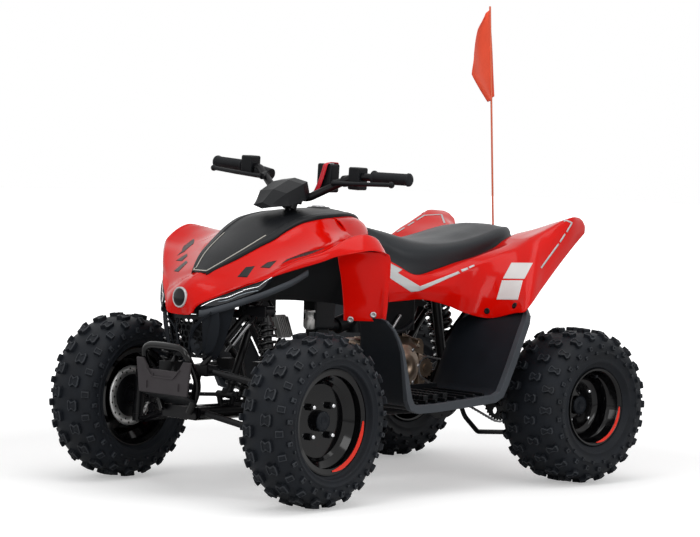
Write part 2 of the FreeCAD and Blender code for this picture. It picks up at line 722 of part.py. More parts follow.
def front_frame(body, lamp):
    """Front section: rails, uprights, arm brackets, damper tower and column bearing."""
    half = [rail().common(box((SPLIT_X, 0, 0), (700, 200, 700)))]
    half.append(spine().common(box((430, 0, 0), (700, 200, 700))))
    front_x = FRONT_AXLE_X + ARM_FRONT
    rear_x = FRONT_AXLE_X - ARM_REAR
    for x in (UPRIGHT_REAR_X, UPRIGHT_FRONT_X):
        half.append(bent_bar([(x, RAIL_FRONT_Y, RAIL_Z), (x, 58, UPPER_PIVOT_Z), (490, 92, TOWER_Z)], 9,
                             40))
    half += pivot_bracket(front_x, LOWER_PIVOT_Y, LOWER_PIVOT_Z, RAIL_FRONT_Y, front_x)
    half += pivot_bracket(rear_x, LOWER_PIVOT_Y, LOWER_PIVOT_Z, RAIL_FRONT_Y, UPRIGHT_REAR_X)
    half += pivot_bracket(front_x, UPPER_PIVOT_Y, UPPER_PIVOT_Z, 50, UPRIGHT_FRONT_X)
    half += pivot_bracket(rear_x, UPPER_PIVOT_Y, UPPER_PIVOT_Z, 50, UPRIGHT_REAR_X)
    x, y, z = SHOCK_TOP
    gap = SHOCK_EYE_R + EYE_GAP
    for start in (x - gap - BRACKET_WALL, x + gap):
        half.append(box((start, 84, z - 14), (start + BRACKET_WALL, y + 12, z + 13)))
    half.append(box((x - gap - 2, y - SHOCK_EYE_R - 8, z - 14),
                    (x + gap + 2, y - SHOCK_EYE_R - 1, z + 10)))
    half.append(rod((474, 18, RAIL_Z), (474, 30, 262), 8))
    half.append(box((634, 0, 206), (640, 70, 240)))
    tower = (490, 92, TOWER_Z)
    half.append(straight_stay(tower, (504, 122, 680), body))
    half.append(straight_stay((490, 26, TOWER_Z), (640, 26, 556), body))
    half.append(straight_stay(tower, (566, 152, 556), lamp))
    solids = half + [mirror_y(s) for s in half]
    solids += [
        rod((490, -92, TOWER_Z), (490, 92, TOWER_Z), 12),
        rod((474, -34, 262), (474, 34, 262), 10),
        rod(column_point(-COLUMN_BELOW), column_point(-COLUMN_BELOW + BEARING_HEIGHT), BEARING_R),
        rod((UPRIGHT_REAR_X + 18, -28, RAIL_Z), (UPRIGHT_REAR_X + 18, 28, RAIL_Z), 9),
    ]
    bore = rod(column_point(-COLUMN_BELOW - 60), column_point(60), COLUMN_R + RUNNING_GAP)
    return fuse(solids).cut(bore)


SWING_PIVOT = (-262.0, 0.0, 288.0)
PEG_X = (70.0, -120.0)
STAY_R = 7.0
BODY_STAY_X = (-300.0, -480.0)
BODY_STAY_Y = 205.0


def floor_underside(x):
    """Height of the foot well's underside, which rises to the rear."""
    share = (FLOOR_FRONT_X - x) / (FLOOR_FRONT_X - FLOOR_REAR_X)
    return FLOOR_Z - FLOOR_WALL + share * FLOOR_RISE


def seat_rail_z(x):
    share = (x - SEAT_RAIL_FRONT[0]) / (SEAT_RAIL_REAR[0] - SEAT_RAIL_FRONT[0])
    return SEAT_RAIL_FRONT[2] + share * (SEAT_RAIL_REAR[2] - SEAT_RAIL_FRONT[2])


def main_frame(front_body, hood, rear_body):
    """Cradle, upper tubes and seat rails behind the front section, with the stays of the bodywork."""
    half = [
        rail().common(box((-700, 0, 0), (SPLIT_X, 200, 700))),
        spine().common(box((-700, 0, 0), (430, 200, 700))),
        rod((-278, FRAME_HALF_WIDTH, 372), (-520, 90, 628), 10),
    ]
    for x in PEG_X:
        top = floor_underside(x) - RUNNING_GAP - 0.1
        half.append(rod((x, FRAME_HALF_WIDTH, CRADLE_Z), (x, FOOT_INNER_Y - 10, top - THIN_TUBE_R),
                        THIN_TUBE_R))
        half.append(rod((x, FOOT_INNER_Y - 12, top - THIN_TUBE_R),
                        (x, FOOT_OUTER_Y - 20, top - THIN_TUBE_R), THIN_TUBE_R))
    half.append(straight_stay((300, 52, 640), (290, 172, 734), front_body))
    half.append(straight_stay(column_point(360, 0, 50), (262, 62, 790), hood))
    for x in BODY_STAY_X:
        start = (x, 90, seat_rail_z(x) - 4)
        corner = (x, BODY_STAY_Y, start[2] + 4)
        end = (x, BODY_STAY_Y, start[2] + 90)
        half.append(trimmed(bent_bar([start, corner, end], STAY_R, 18), start, rear_body, (0, 0, 1)))
    solids = half + [mirror_y(s) for s in half]
    for x, z, y in ((236, CRADLE_Z, FRAME_HALF_WIDTH), (-200, CRADLE_Z, FRAME_HALF_WIDTH),
                    (-235, 552, 84), (-560, 639, 92)):
        solids.append(rod((x, -y, z), (x, y, z), 10))
    solids.append(rod(column_point(360, 0, -58), column_point(360, 0, 58), 10))
    solids.append(rod(column_point(350), column_point(372), 22))
    for near, far in ((-76, -52.6), (52.6, 76)):
        solids.append(rod((SWING_PIVOT[0], near, SWING_PIVOT[2]), (SWING_PIVOT[0], far, SWING_PIVOT[2]),
                          20))
    solids.append(box((-330, -14, 559.5), (-300, 14, 590)))
    solids.append(rod((-315, -88, 588), (-315, 88, 588), 10))
    bore = rod(column_point(300), column_point(420), COLUMN_R + RUNNING_GAP)
    return fuse(solids).cut(bore)


def swing_arm():
    """Rear fork with the axle carrier in its middle, the caliper and a hoop that guards the sprocket."""
    x, y, z = SWING_PIVOT
    axle_x, axle_z = REAR_AXLE_X, REAR_TYRE_R
    guard = [(143, 40, 29.5), (143, 88, -54.5), (95, 96, -101.5), (-45, 96, -110.5)]
    pieces = [
        rod((x, -52, z), (x, 52, z), 16),
        rod((axle_x, -60, axle_z), (axle_x, 74, axle_z), CARRIER_R),
        bent_bar([(axle_x + dx, side, axle_z + dz) for dx, side, dz in guard], 7, 20),
        rod((axle_x + 120, -12, axle_z + 39.5), (axle_x + 120, 12, axle_z + 39.5), 16),
        rod((axle_x + 120, -36, axle_z + 33.5), (axle_x + 120, 36, axle_z + 33.5), 12),
        caliper((axle_x, 0, axle_z), REAR_DISC_R, REAR_DISC_Y, -30, 10),
        rod((axle_x + 75, -36, axle_z + 11.5), (axle_x + 75, REAR_DISC_Y + 10, axle_z + 43.5), 8),
    ]
    for side in (-1, 1):
        pieces.append(rod((x, 36 * side, z), (axle_x, 36 * side, axle_z), 14))
    bore = rod((axle_x, -70, axle_z), (axle_x, 84, axle_z), AXLE_R + RUNNING_GAP)
    return fuse(pieces).cut(bore)


def rear_shock():
    return coil_over((-388, 0, 292), (-315, 0, 546), 17, 30, 13)


INTAKE_X = 132.0
INTAKE_Z = 412.0
def engine():
    """Horizontal single: crankcase, side covers, finned barrel and head."""
    case = rounded_box((-226, -56, 238), (10, 56, 400), 22, (0, 1, 0))
    pieces = [case, rod((-92, 50, 326), (-92, 104, 326), 66), rod((-60, -50, 320), (-60, -104, 320), 70)]
    start = vec((6, -8, 330))
    way = vec((math.cos(math.radians(12)), 0, math.sin(math.radians(12))))

    def at(distance):
        return tuple(start + way * distance)

    pieces.append(rod(at(0), at(150), 40))
    for i in range(7):
        pieces.append(rod(at(18 + 13 * i), at(21 + 13 * i), 58))
    pieces.append(rod(at(108), at(150), 48))
    pieces.append(rod((INTAKE_X, -8, 380), (INTAKE_X, -8, INTAKE_Z), 24))
    pieces.append(rod((ENGINE_SPROCKET_X, 50, ENGINE_SPROCKET_Z),
                      (ENGINE_SPROCKET_X, SPROCKET_Y + 6, ENGINE_SPROCKET_Z), 12))
    pieces.append(sprocket(FRONT_TEETH, FRONT_PITCH_R, ENGINE_SPROCKET_X, ENGINE_SPROCKET_Z))
    pieces.append(box((-60, -40, 214.4), (-20, 40, 240)))
    pieces.append(box((-200, -60, 210.4), (-180, 60, 240)))
    return fuse(pieces)


def intake():
    """Airbox under the seat, with the carburettor ahead of it and the pipe down to the head."""
    boxy = rounded_box((-190, -60, 424), (-30, 60, 536), 14, (0, 0, 1))
    return fuse([boxy, rod((-34, 0, 470), (70, 0, 440), 24), rod((0, 0, 420), (0, 0, 470), 26),
                 rod((60, 0, 442), (INTAKE_X, -8, 442), 16), Part.makeSphere(16, vec((INTAKE_X, -8,
                                                                                      442))),
                 rod((INTAKE_X, -8, 442), (INTAKE_X, -8, INTAKE_Z + RUNNING_GAP), 16),
                 rod((INTAKE_X, -8, INTAKE_Z + RUNNING_GAP), (INTAKE_X, -8, INTAKE_Z + 6), 24)])


def exhaust():
    pipe = bent_bar([(130, -20, 302), (150, -60, 262), (90, -128, 262), (-300, -128, 268),
                     (-390, -140, 430), (-430, -150, 500)], 13, 40)
    can = rod((-400, -152, 478), (-610, -168, 560), 44)
    tip = rod((-600, -167, 556), (-640, -170, 572), 16)
    return fuse([pipe, can, tip])


REAR_PITCH_R = CHAIN_PITCH / 2 / math.sin(math.pi / REAR_TEETH)
FRONT_PITCH_R = CHAIN_PITCH / 2 / math.sin(math.pi / FRONT_TEETH)
CHAIN_INNER = 1.6
CHAIN_PLATE = 6.4
CHAIN_WAIST = 4.8
CHAIN_WIDTH = 13.0


def chain_line(steps):
    """Even steps round both sprockets at the pitch line: the place, and the angle that faces out."""
    across = REAR_AXLE_X - ENGINE_SPROCKET_X
    along = REAR_TYRE_R - ENGINE_SPROCKET_Z
    lean = math.asin((REAR_PITCH_R - FRONT_PITCH_R) / math.hypot(across, along))
    base = math.atan2(along, across)
    run = math.sqrt(across ** 2 + along ** 2 - (REAR_PITCH_R - FRONT_PITCH_R) ** 2)
    rear_arc = REAR_PITCH_R * (math.pi + 2 * lean)
    front_arc = FRONT_PITCH_R * (math.pi - 2 * lean)
    upper, lower = base + math.pi / 2 + lean, base - math.pi / 2 - lean

    def on_circle(centre, radius, angle):
        return (centre[0] + radius * math.cos(angle), centre[1] + radius * math.sin(angle))

    front, rear = (ENGINE_SPROCKET_X, ENGINE_SPROCKET_Z), (REAR_AXLE_X, REAR_TYRE_R)
    total = 2 * run + rear_arc + front_arc
    places = []
    for k in range(steps):
        left = total * k / steps
        if left < run:
            near, far = on_circle(front, FRONT_PITCH_R, upper), on_circle(rear, REAR_PITCH_R, upper)
            places.append((near[0] + (far[0] - near[0]) * left / run,
                           near[1] + (far[1] - near[1]) * left / run, upper))
        elif left < run + rear_arc:
            angle = upper - (left - run) / REAR_PITCH_R
            places.append((*on_circle(rear, REAR_PITCH_R, angle), angle))
        elif left < 2 * run + rear_arc:
            share = (left - run - rear_arc) / run
            near, far = on_circle(rear, REAR_PITCH_R, lower), on_circle(front, FRONT_PITCH_R, lower)
            places.append((near[0] + (far[0] - near[0]) * share, near[1] + (far[1] - near[1]) * share,
                           lower))
        else:
            angle = lower - (left - 2 * run - rear_arc) / FRONT_PITCH_R
            places.append((*on_circle(front, FRONT_PITCH_R, angle), angle))
    return places, total


def chain():
    """Drive chain as one closed loop, waisted between its links, just clear of both sprockets."""
    links = round(chain_line(1)[1] / CHAIN_PITCH)
    places = chain_line(2 * links)[0]
    low_y = SPROCKET_Y - CHAIN_WIDTH / 2
    outer, inner = [], []
    for k, (x, z, angle) in enumerate(places):
        reach = CHAIN_PLATE if k % 2 == 0 else CHAIN_WAIST
        outer.append((x + reach * math.cos(angle), low_y, z + reach * math.sin(angle)))
        if k % 2 == 0:
            inner.append((x + CHAIN_INNER * math.cos(angle), low_y, z + CHAIN_INNER * math.sin(angle)))
    return prism(outer, (0, CHAIN_WIDTH, 0)).cut(prism(inner, (0, CHAIN_WIDTH, 0)))


def sprocket(teeth, pitch_r, x, z):
    """Toothed wheel whose teeth end just inside the chain."""
    step = 2 * math.pi / teeth
    outline = []
    for i in range(teeth):
        for share, radius in ((-0.3, pitch_r - 4), (-0.12, pitch_r + 0.6), (0.12, pitch_r + 0.6),
                              (0.3, pitch_r - 4)):
            angle = (i + share) * step
            outline.append((x + radius * math.cos(angle), SPROCKET_Y - 2.5, z + radius * math.sin(angle)))
    return prism(outline, (0, 5, 0))


def rear_axle():
    """Solid axle with both hubs, the sprocket and the brake disc, turning as one."""
    end = REAR_TRACK / 2 + REAR_PLATE_OFFSET
    shaft = rod((REAR_AXLE_X, -end, REAR_TYRE_R), (REAR_AXLE_X, end, REAR_TYRE_R), AXLE_R)
    wheel_holes = []
    for i in range(6):
        angle = math.radians(60 * i)
        x, z = REAR_AXLE_X + 49 * math.cos(angle), REAR_TYRE_R + 49 * math.sin(angle)
        wheel_holes.append(rod((x, SPROCKET_Y - 9, z), (x, SPROCKET_Y + 9, z), 10))
    toothed = cut(sprocket(REAR_TEETH, REAR_PITCH_R, REAR_AXLE_X, REAR_TYRE_R), wheel_holes)
    boss = rod((REAR_AXLE_X, SPROCKET_Y - 12, REAR_TYRE_R), (REAR_AXLE_X, SPROCKET_Y + 12, REAR_TYRE_R),
               30)
    disc = brake_disc(REAR_AXLE_X, REAR_DISC_Y, REAR_TYRE_R, REAR_DISC_R)
    carrier = rod((REAR_AXLE_X, REAR_DISC_Y - 6, REAR_TYRE_R),
                  (REAR_AXLE_X, REAR_DISC_Y + 12, REAR_TYRE_R), 30)
    return fuse([shaft, hub(1, False), hub(-1, False), toothed, boss, disc, carrier])


# Bodywork


# Control nets of the moulded panels. Each line runs across the vehicle from the inner edge to the
# outer one, and the lines follow each other from the nose to the rear, or up the leg.
NOSE_NET = [
    [(637, 0, 486), (640, 12, 486), (643, 24, 487), (646, 36, 488), (648, 44, 490), (648, 50, 493),
     (646, 55, 498)],
    [(643, 0, 510), (645, 14, 510), (646, 28, 510), (646, 42, 510), (646, 52, 511), (644, 60, 512),
     (641, 66, 514)],
    [(646, 0, 535), (646, 16, 535), (644, 32, 534), (641, 48, 532), (637, 60, 529), (633, 72, 526),
     (628, 84, 526)],
    [(637, 0, 559), (635, 22, 558), (630, 44, 553), (624, 66, 547), (618, 82, 543), (613, 96, 540),
     (609, 112, 540)],
    [(616, 0, 580), (612, 28, 577), (606, 56, 569), (600, 82, 561), (594, 104, 556), (589, 124, 554),
     (586, 146, 557)],
]
FENDER_NET = [
    [(583, 28, 594), (579, 60, 585), (575, 92, 577), (571, 120, 572), (567, 144, 571), (564, 162, 571),
     (561, 178, 573)],
    [(572, 34, 602), (567, 70, 595), (562, 103, 588), (557, 134, 583), (554, 160, 581), (551, 179, 582),
     (547, 194, 581)],
    [(560, 44, 611), (554, 80, 604), (548, 114, 598), (543, 148, 594), (540, 176, 592), (538, 196, 592),
     (533, 211, 588)],
    [(505, 80, 644), (500, 120, 634), (497, 160, 626), (498, 198, 621), (502, 228, 620), (507, 242, 619),
     (509, 243, 604)],
    [(460, 98, 670), (453, 146, 657), (451, 196, 647), (456, 241, 643), (464, 270, 645), (472, 284, 645),
     (470, 290, 625)],
    [(417, 115, 693), (409, 166, 676), (407, 226, 664), (414, 275, 660), (425, 308, 663),
     (433, 326, 664), (437, 330, 642)],
    [(385, 121, 713), (376, 176, 690), (376, 236, 675), (386, 290, 673), (400, 326, 678),
     (411, 343, 678), (410, 357, 657)],
    [(340, 127, 734), (330, 183, 706), (332, 246, 689), (346, 306, 690), (362, 341, 699),
     (372, 354, 699), (376, 380, 667)],
    [(300, 129, 744), (290, 186, 712), (292, 250, 697), (308, 316, 700), (324, 349, 710),
     (335, 361, 711), (345, 391, 673)],
    [(262, 130, 750), (254, 187, 714), (256, 250, 699), (272, 316, 702), (290, 353, 711),
     (302, 366, 711), (310, 393, 675)],
    [(232, 128, 753), (226, 184, 714), (228, 246, 696), (240, 306, 697), (254, 346, 702),
     (264, 364, 700), (272, 391, 669)],
    [(206, 125, 754), (204, 182, 712), (206, 240, 690), (214, 296, 682), (226, 336, 681),
     (236, 357, 679), (242, 382, 655)],
]
TANK_NET = [
    [(210, 125, 754), (208, 152, 742), (206, 173, 722), (205, 184, 700), (204, 188, 680)],
    [(160, 117, 756), (160, 143, 745), (160, 160, 725), (160, 167, 700), (160, 167, 676)],
    [(110, 98, 754), (110, 125, 743), (110, 141, 721), (110, 146, 697), (110, 143, 672)],
    [(62, 66, 743), (64, 98, 733), (68, 117, 713), (72, 123, 690), (76, 120, 668)],
    [(20, 28, 727), (26, 60, 718), (34, 82, 702), (44, 90, 684), (52, 90, 666)],
]
LEG_NET = [
    [(300, 276, 480), (286, 298, 480), (264, 326, 480), (242, 352, 481), (226, 371, 484),
     (212, 373, 486)],
    [(304, 278, 520), (288, 300, 520), (265, 328, 520), (242, 355, 520), (225, 375, 520),
     (210, 377, 520)],
    [(313, 282, 560), (296, 304, 560), (271, 332, 560), (246, 359, 560), (227, 379, 560),
     (211, 381, 560)],
    [(326, 288, 600), (307, 310, 600), (281, 337, 600), (253, 364, 600), (231, 382, 600),
     (214, 384, 600)],
    [(341, 294, 636), (322, 317, 638), (295, 343, 640), (265, 368, 642), (238, 384, 642),
     (219, 385, 640)],
    [(352, 300, 662), (338, 326, 665), (312, 352, 667), (282, 374, 668), (252, 386, 666),
     (230, 384, 660)],
]
REAR_NET = [
    [(26, 104, 652), (24, 132, 622), (22, 152, 590), (20, 161, 556), (20, 160, 518)],
    [(-40, 128, 618), (-42, 148, 600), (-44, 162, 580), (-44, 168, 556), (-44, 162, 519)],
    [(-100, 144, 596), (-102, 160, 584), (-104, 172, 566), (-104, 176, 546), (-104, 166, 520)],
    [(-200, 150, 622), (-202, 186, 606), (-204, 212, 576), (-206, 222, 540), (-206, 214, 492)],
    [(-300, 154, 642), (-302, 218, 632), (-304, 266, 600), (-306, 292, 556), (-306, 306, 486)],
    [(-400, 156, 660), (-402, 230, 658), (-404, 284, 640), (-406, 312, 600), (-404, 330, 520)],
    [(-480, 156, 676), (-484, 226, 684), (-488, 280, 682), (-488, 310, 656), (-478, 326, 584)],
    [(-560, 158, 692), (-566, 224, 714), (-572, 272, 724), (-574, 298, 712), (-560, 312, 664)],
    [(-620, 166, 704), (-628, 226, 734), (-634, 266, 744), (-636, 286, 742), (-630, 296, 720)],
    [(-650, 220, 728), (-654, 246, 742), (-658, 268, 748), (-660, 282, 748), (-660, 288, 742)],
]
# How far the black panel's crown stands above its edge, from its front to the seat
HOOD_RISE = [3, 3, 4, 7, 10, 13, 12, 13, 14, 15, 15, 15, 14, 13, 10, 5]
HOOD_FRONT = (581.0, 26.0, 596.0)
HOOD_STEP = 2.0
NOSE_TOP = [(587, 0, 597), (584, 34, 591), (580, 66, 583), (577, 96, 576), (573, 124, 572),
            (569, 148, 571), (564, 176, 572)]


def net_normals(net):
    """Outward direction at each point of a net."""
    rows, columns = len(net), len(net[0])
    normals = []
    for i in range(rows):
        line = []
        for j in range(columns):
            along = net[min(i + 1, rows - 1)][j] - net[max(i - 1, 0)][j]
            across = net[i][min(j + 1, columns - 1)] - net[i][max(j - 1, 0)]
            line.append(across.cross(along).normalize())
        normals.append(line)
    return normals


def evened(line, count):
    """Points at even distances along a smooth line through the given ones."""
    curve = Part.BSplineCurve()
    curve.interpolate([vec(p) for p in line])
    return curve.discretize(count)


def moulded_panel(lines, wall, count):
    """Smooth panel of even wall: an outer face through the net, its inner offset and the rims."""
    outer = [evened(line, count) for line in lines]
    normals = net_normals(outer)
    inner = [[p - n * wall for p, n in zip(line, out)] for line, out in zip(outer, normals)]
    faces = []
    rims = []
    for net in (outer, inner):
        surface = Part.BSplineSurface()
        surface.interpolate(net)
        u0, u1, v0, v1 = surface.bounds()
        edges = [surface.uIso(u0), surface.uIso(u1)]
        knots = surface.getUKnots()
        for near, far in zip(knots, knots[1:]):
            patch = surface.copy()
            patch.segment(near, far, v0, v1)
            faces.append(patch.toShape())
            edges += [patch.vIso(v0), patch.vIso(v1)]
        rims.append(edges)
    for near, far in zip(*rims):
        faces.append(Part.makeRuledSurface(near.toShape(), far.toShape()))
    shell = Part.makeShell(faces)
    shell.sewShape()
    solid = Part.makeSolid(shell)
    if solid.Volume < 0:
        solid.reverse()
    return solid


def hood_panel():
    """Black crowned panel down the middle of the hood, with the hole for the column."""
    edge = [HOOD_FRONT] + [line[0] for line in FENDER_NET[1:] + TANK_NET[1:]]
    lines = []
    for (x, y, z), rise in zip(edge, HOOD_RISE):
        half = y - PANEL_GAP / 2
        low = z + HOOD_STEP
        left = [(x, half * share, low + rise * (1 - share ** 2)) for share in (1.0, 0.78, 0.5, 0.25)]
        lines.append([(x, -y, z) for x, y, z in left] + [(x, 0, low + rise)] + left[::-1])
    shell = moulded_panel(lines, PANEL_WALL, 9)
    return shell.cut(rod(column_point(440), column_point(560), 34))


def front_bodywork():
    """Red mouldings: the nose, and on each side the hood flank, fender, leg and tank flank."""
    nose_lines = []
    for line in NOSE_NET + [NOSE_TOP]:
        nose_lines.append([(x, -y, z) for x, y, z in line[:0:-1]] + line)
    left = moulded_panel(FENDER_NET, PANEL_WALL, 11)
    for net in (LEG_NET, TANK_NET):
        left = left.fuse(moulded_panel(net, PANEL_WALL, 7))
    return Part.makeCompound([moulded_panel(nose_lines, PANEL_WALL, 13), left, mirror_y(left)])


def rear_bodywork():
    """Red side panels and swept rear fenders, one shell on each side."""
    return both_sides(moulded_panel(REAR_NET, PANEL_WALL, 9))


def seat():
    """Plain closed form of the saddle."""
    sections = []
    for x, half, low, side, top in ((26, 40, 690, 700, 722), (-60, 128, 584, 640, 704),
                                    (-190, 142, 582, 650, 688),
                                    (-350, 146, 620, 668, 700), (-500, 140, 650, 690, 728), (-618, 100,
                                                                                             676, 688, 706)):
        sections.append([(x, -half, low), (x, -half, side), (x, -half * 0.7, top - 4), (x, 0, top),
                         (x, half * 0.7, top - 4), (x, half, side), (x, half, low)])
    return closed_loft(sections, True).cut(box((-700, -200, 500), (-468, 200, TAIL_Z + RUNNING_GAP)))


FLOOR_RIBS = 7
RIB_HEIGHT = 4.0
PEG_TEETH = 9
LIP_WIDTH = 14.0
LIP_WALL = 13.0


def floor_z(x):
    """Height of the foot well's upper face."""
    return floor_underside(x) + FLOOR_WALL


def guard_outline(wall, y):
    """Side outline of the foot well: front guard, floor and heel guard at a wall thickness."""
    floor_rear_z = FLOOR_Z + FLOOR_RISE
    outer = [(262, 478), (FLOOR_FRONT_X, FLOOR_Z), (FLOOR_REAR_X, floor_rear_z), (-284, 470)]
    inner = [(-284 - wall, 470), (FLOOR_REAR_X - wall, floor_rear_z - wall),
             (FLOOR_FRONT_X + wall * 0.4, FLOOR_Z - wall), (262 + wall, 478)]
    return [(x, y, z) for x, z in outer + inner]


def footwell():
    """Left foot well: a bent sheet with a thick outer lip, cross ribs and a toothed peg."""
    sheet = prism(guard_outline(FLOOR_WALL, FOOT_INNER_Y), (0, FOOT_OUTER_Y - FOOT_INNER_Y, 0))
    lip = prism(guard_outline(LIP_WALL, FOOT_OUTER_Y - LIP_WIDTH), (0, LIP_WIDTH, 0))
    pieces = [sheet, lip]
    length = FLOOR_FRONT_X - FLOOR_REAR_X
    for i in range(FLOOR_RIBS):
        x = FLOOR_REAR_X + length * (i + 1) / (FLOOR_RIBS + 1)
        outline = [(x - 5, FOOT_INNER_Y + 18, floor_z(x - 5) - 1),
                   (x + 5, FOOT_INNER_Y + 18, floor_z(x + 5) - 1),
                   (x + 3, FOOT_INNER_Y + 18, floor_z(x + 3) + RIB_HEIGHT),
                   (x - 3, FOOT_INNER_Y + 18, floor_z(x - 3) + RIB_HEIGHT)]
        pieces.append(prism(outline, (0, FOOT_OUTER_Y - FOOT_INNER_Y - 18 - LIP_WIDTH, 0)))
    low = floor_z(PEG_X[0]) - 2
    start, end = FOOT_INNER_Y + 60, FOOT_OUTER_Y - 24
    tooth = (end - start) / PEG_TEETH
    outline = [(0, start, low), (0, end, low)]
    for i in range(PEG_TEETH, 0, -1):
        outline += [(0, start + tooth * i, low + 10), (0, start + tooth * (i - 0.5), low + 18)]
    outline.append((0, start, low + 10))
    for x in (PEG_X[0] - 16, PEG_X[0] + 12):
        pieces.append(prism([(x, y, z) for _, y, z in outline], (4, 0, 0)))
    return fuse(pieces)


HOOP_R = 9.0
HOOP_X = 689.0
PLATE_WALL = 6.0


def bumper():
    """Tubular hoop with a flat plate bolted across its front."""
    top, waist, foot = 404, 300, 222
    hoop = bent_bar([(652, 52, foot), (HOOP_X, 96, waist), (HOOP_X, 60, top), (HOOP_X, -60, top),
                     (HOOP_X, -96, waist), (652, -52, foot)], HOOP_R, 30)
    face = HOOP_X + HOOP_R + 1
    plate = prism([(face, -118, 352), (face, 118, 352), (face, 84, 274), (face, -84, 274)],
                  (PLATE_WALL, 0, 0))
    pieces = [hoop, plate]
    for way in (-1, 1):
        pieces.append(box((640, way * 52 - 18, 206), (656, way * 52 + 18, 238)))
        pieces.append(rod((HOOP_X, way * 89, 318), (face + PLATE_WALL / 2, way * 89, 318), 12))
    return fuse(pieces)


def skid_plate():
    top = RAIL_Z - FRAME_TUBE_R - RUNNING_GAP
    return box((414, -60, top - 3), (633, 60, top))


HEX_ACROSS = 15.0
HEX_WEB = 3.5
GRILLE_TOP = (110.0, 482.0)
GRILLE_LOW = (66.0, 372.0)


def grille():
    """Front screen between the lamps and the bumper: a dished sheet with six-sided holes."""
    rows = [
        [(606, -66, 372), (618, -40, 372), (622, 0, 372), (618, 40, 372), (606, 66, 372)],
        [(560, -110, 488), (614, -66, 488), (628.8, 0, 488), (614, 66, 488), (560, 110, 488)],
    ]
    screen = shell_loft(rows, PANEL_WALL, (0, 0, 1))
    pitch_y = HEX_ACROSS + HEX_WEB
    pitch_z = pitch_y * math.sqrt(3) / 2
    corner = HEX_ACROSS / math.sqrt(3)
    holes = []
    row = 0
    z = GRILLE_LOW[1] + 16
    while z < GRILLE_TOP[1] - 10:
        share = (z - GRILLE_LOW[1]) / (GRILLE_TOP[1] - GRILLE_LOW[1])
        limit = GRILLE_LOW[0] + (GRILLE_TOP[0] - GRILLE_LOW[0]) * share - 15
        count = int(limit / pitch_y) + 1
        for i in range(-count, count + 1):
            y = (i + 0.5 * (row % 2)) * pitch_y
            if abs(y) > limit:
                continue
            outline = [(520, y + corner * math.sin(math.radians(60 * k)),
                        z + corner * math.cos(math.radians(60 * k)))
                       for k in range(6)]
            holes.append(prism(outline, (140, 0, 0)))
        row += 1
        z += pitch_z
    return cut(screen, holes)


# The lamp strip's upper outer corners, under the fender's edge, with its height and depth at each
LAMP_ROWS = [((630, 76, 517), 8, 14), ((609, 103, 534), 22, 22), ((586, 138, 549), 27, 24),
             ((562, 168, 566), 26, 24), ((533, 203, 582), 20, 22), ((512, 228, 596), 6, 18)]


def headlamp():
    """Left lamp strip, tucked under the front edge of the hood flank."""
    sections = []
    for (x, y, z), height, depth in LAMP_ROWS:
        sections.append([(x, y, z), (x, y - 5, z - height), (x, y - depth, z - height),
                         (x, y - depth, z)])
    return closed_loft(sections, True)


def tail_panel():
    """Black deck behind and beside the saddle, on the seat rails."""
    return box((-690, -150, TAIL_Z - PANEL_WALL), (-470, 150, TAIL_Z))


def pole_x(height):
    """Where the leaning pole stands at a height."""
    share = (height - POLE_FOOT[2]) / (POLE_TOP[2] - POLE_FOOT[2])
    return POLE_FOOT[0] + share * (POLE_TOP[0] - POLE_FOOT[0])


def flag():
    """Thin pennant that droops forward from the top of the pole."""
    y, z = POLE_TOP[1:]
    near = POLE_R + RUNNING_GAP
    outline = [(near, z - 4), (50, z - 72), (100, z - 226), (near, FLAG_BOTTOM_Z)]
    return prism([(pole_x(height) + reach, y - 0.8, height) for reach, height in outline], (0, 1.6, 0))


os.makedirs("parts", exist_ok=True)

for side, word in ((1, "left"), (-1, "right")):
    tyre_solid, rim = wheel(side, True)
    save("front_" + word + "_tyre", steered_wheel(tyre_solid, side))
    save("front_" + word + "_rim", steered_wheel(rim, side))
    save("front_" + word + "_hub", steered_wheel(hub(side, True), side))
    tyre_solid, rim = wheel(side, False)
    save("rear_" + word + "_tyre", tyre_solid)
    save("rear_" + word + "_rim", rim)
    steering = knuckle() if side > 0 else mirror_y(knuckle())
    save(word + "_knuckle", steered_wheel(steering, side))
    save(word + "_tie_rod", tie_rod(side))
    save(word + "_controls", steered_column(controls(side)))
    save(word + "_footwell", footwell() if side > 0 else mirror_y(footwell()))
save("rear_axle", rear_axle())
save("upper_arms", both_sides(wishbone(UPPER_ARM_Z, UPPER_PIVOT_Y, UPPER_PIVOT_Z)))
save("lower_arms", both_sides(lower_wishbone()))
save("front_shocks", both_sides(coil_over(SHOCK_FOOT, SHOCK_TOP, 12, SHOCK_SPRING_R, SHOCK_EYE_R)))
save("steering_column", steered_column(steering_column()))
save("handlebar", steered_column(handlebar()))
save("grips", steered_column(grips()))
save("instrument_pod", steered_column(instrument_pod()))
save("parking_strap", steered_column(strap()))
hood = hood_panel()
front_body = front_bodywork()
rear_body = rear_bodywork()
lamps = both_sides(headlamp())
save("front_frame", front_frame(front_body, lamps))
save("main_frame", main_frame(front_body, hood, rear_body))
save("swing_arm", swing_arm())
save("rear_shock", rear_shock())
save("engine", engine())
save("intake", intake())
save("exhaust", exhaust())
save("drive_chain", chain())
save("hood_panel", hood)
save("front_bodywork", front_body)
save("rear_bodywork", rear_body)
save("seat", seat())
save("front_bumper", bumper())
save("skid_plate", skid_plate())
save("nose_grille", grille())
save("headlamps", lamps)
save("tail_panel", tail_panel())
save("flag_pole", rod(POLE_FOOT, POLE_TOP, POLE_R))
save("safety_flag", flag())
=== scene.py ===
import math
from types import SimpleNamespace

import bmesh
import bpy
from mathutils import Matrix, Vector
from mathutils.bvhtree import BVHTree


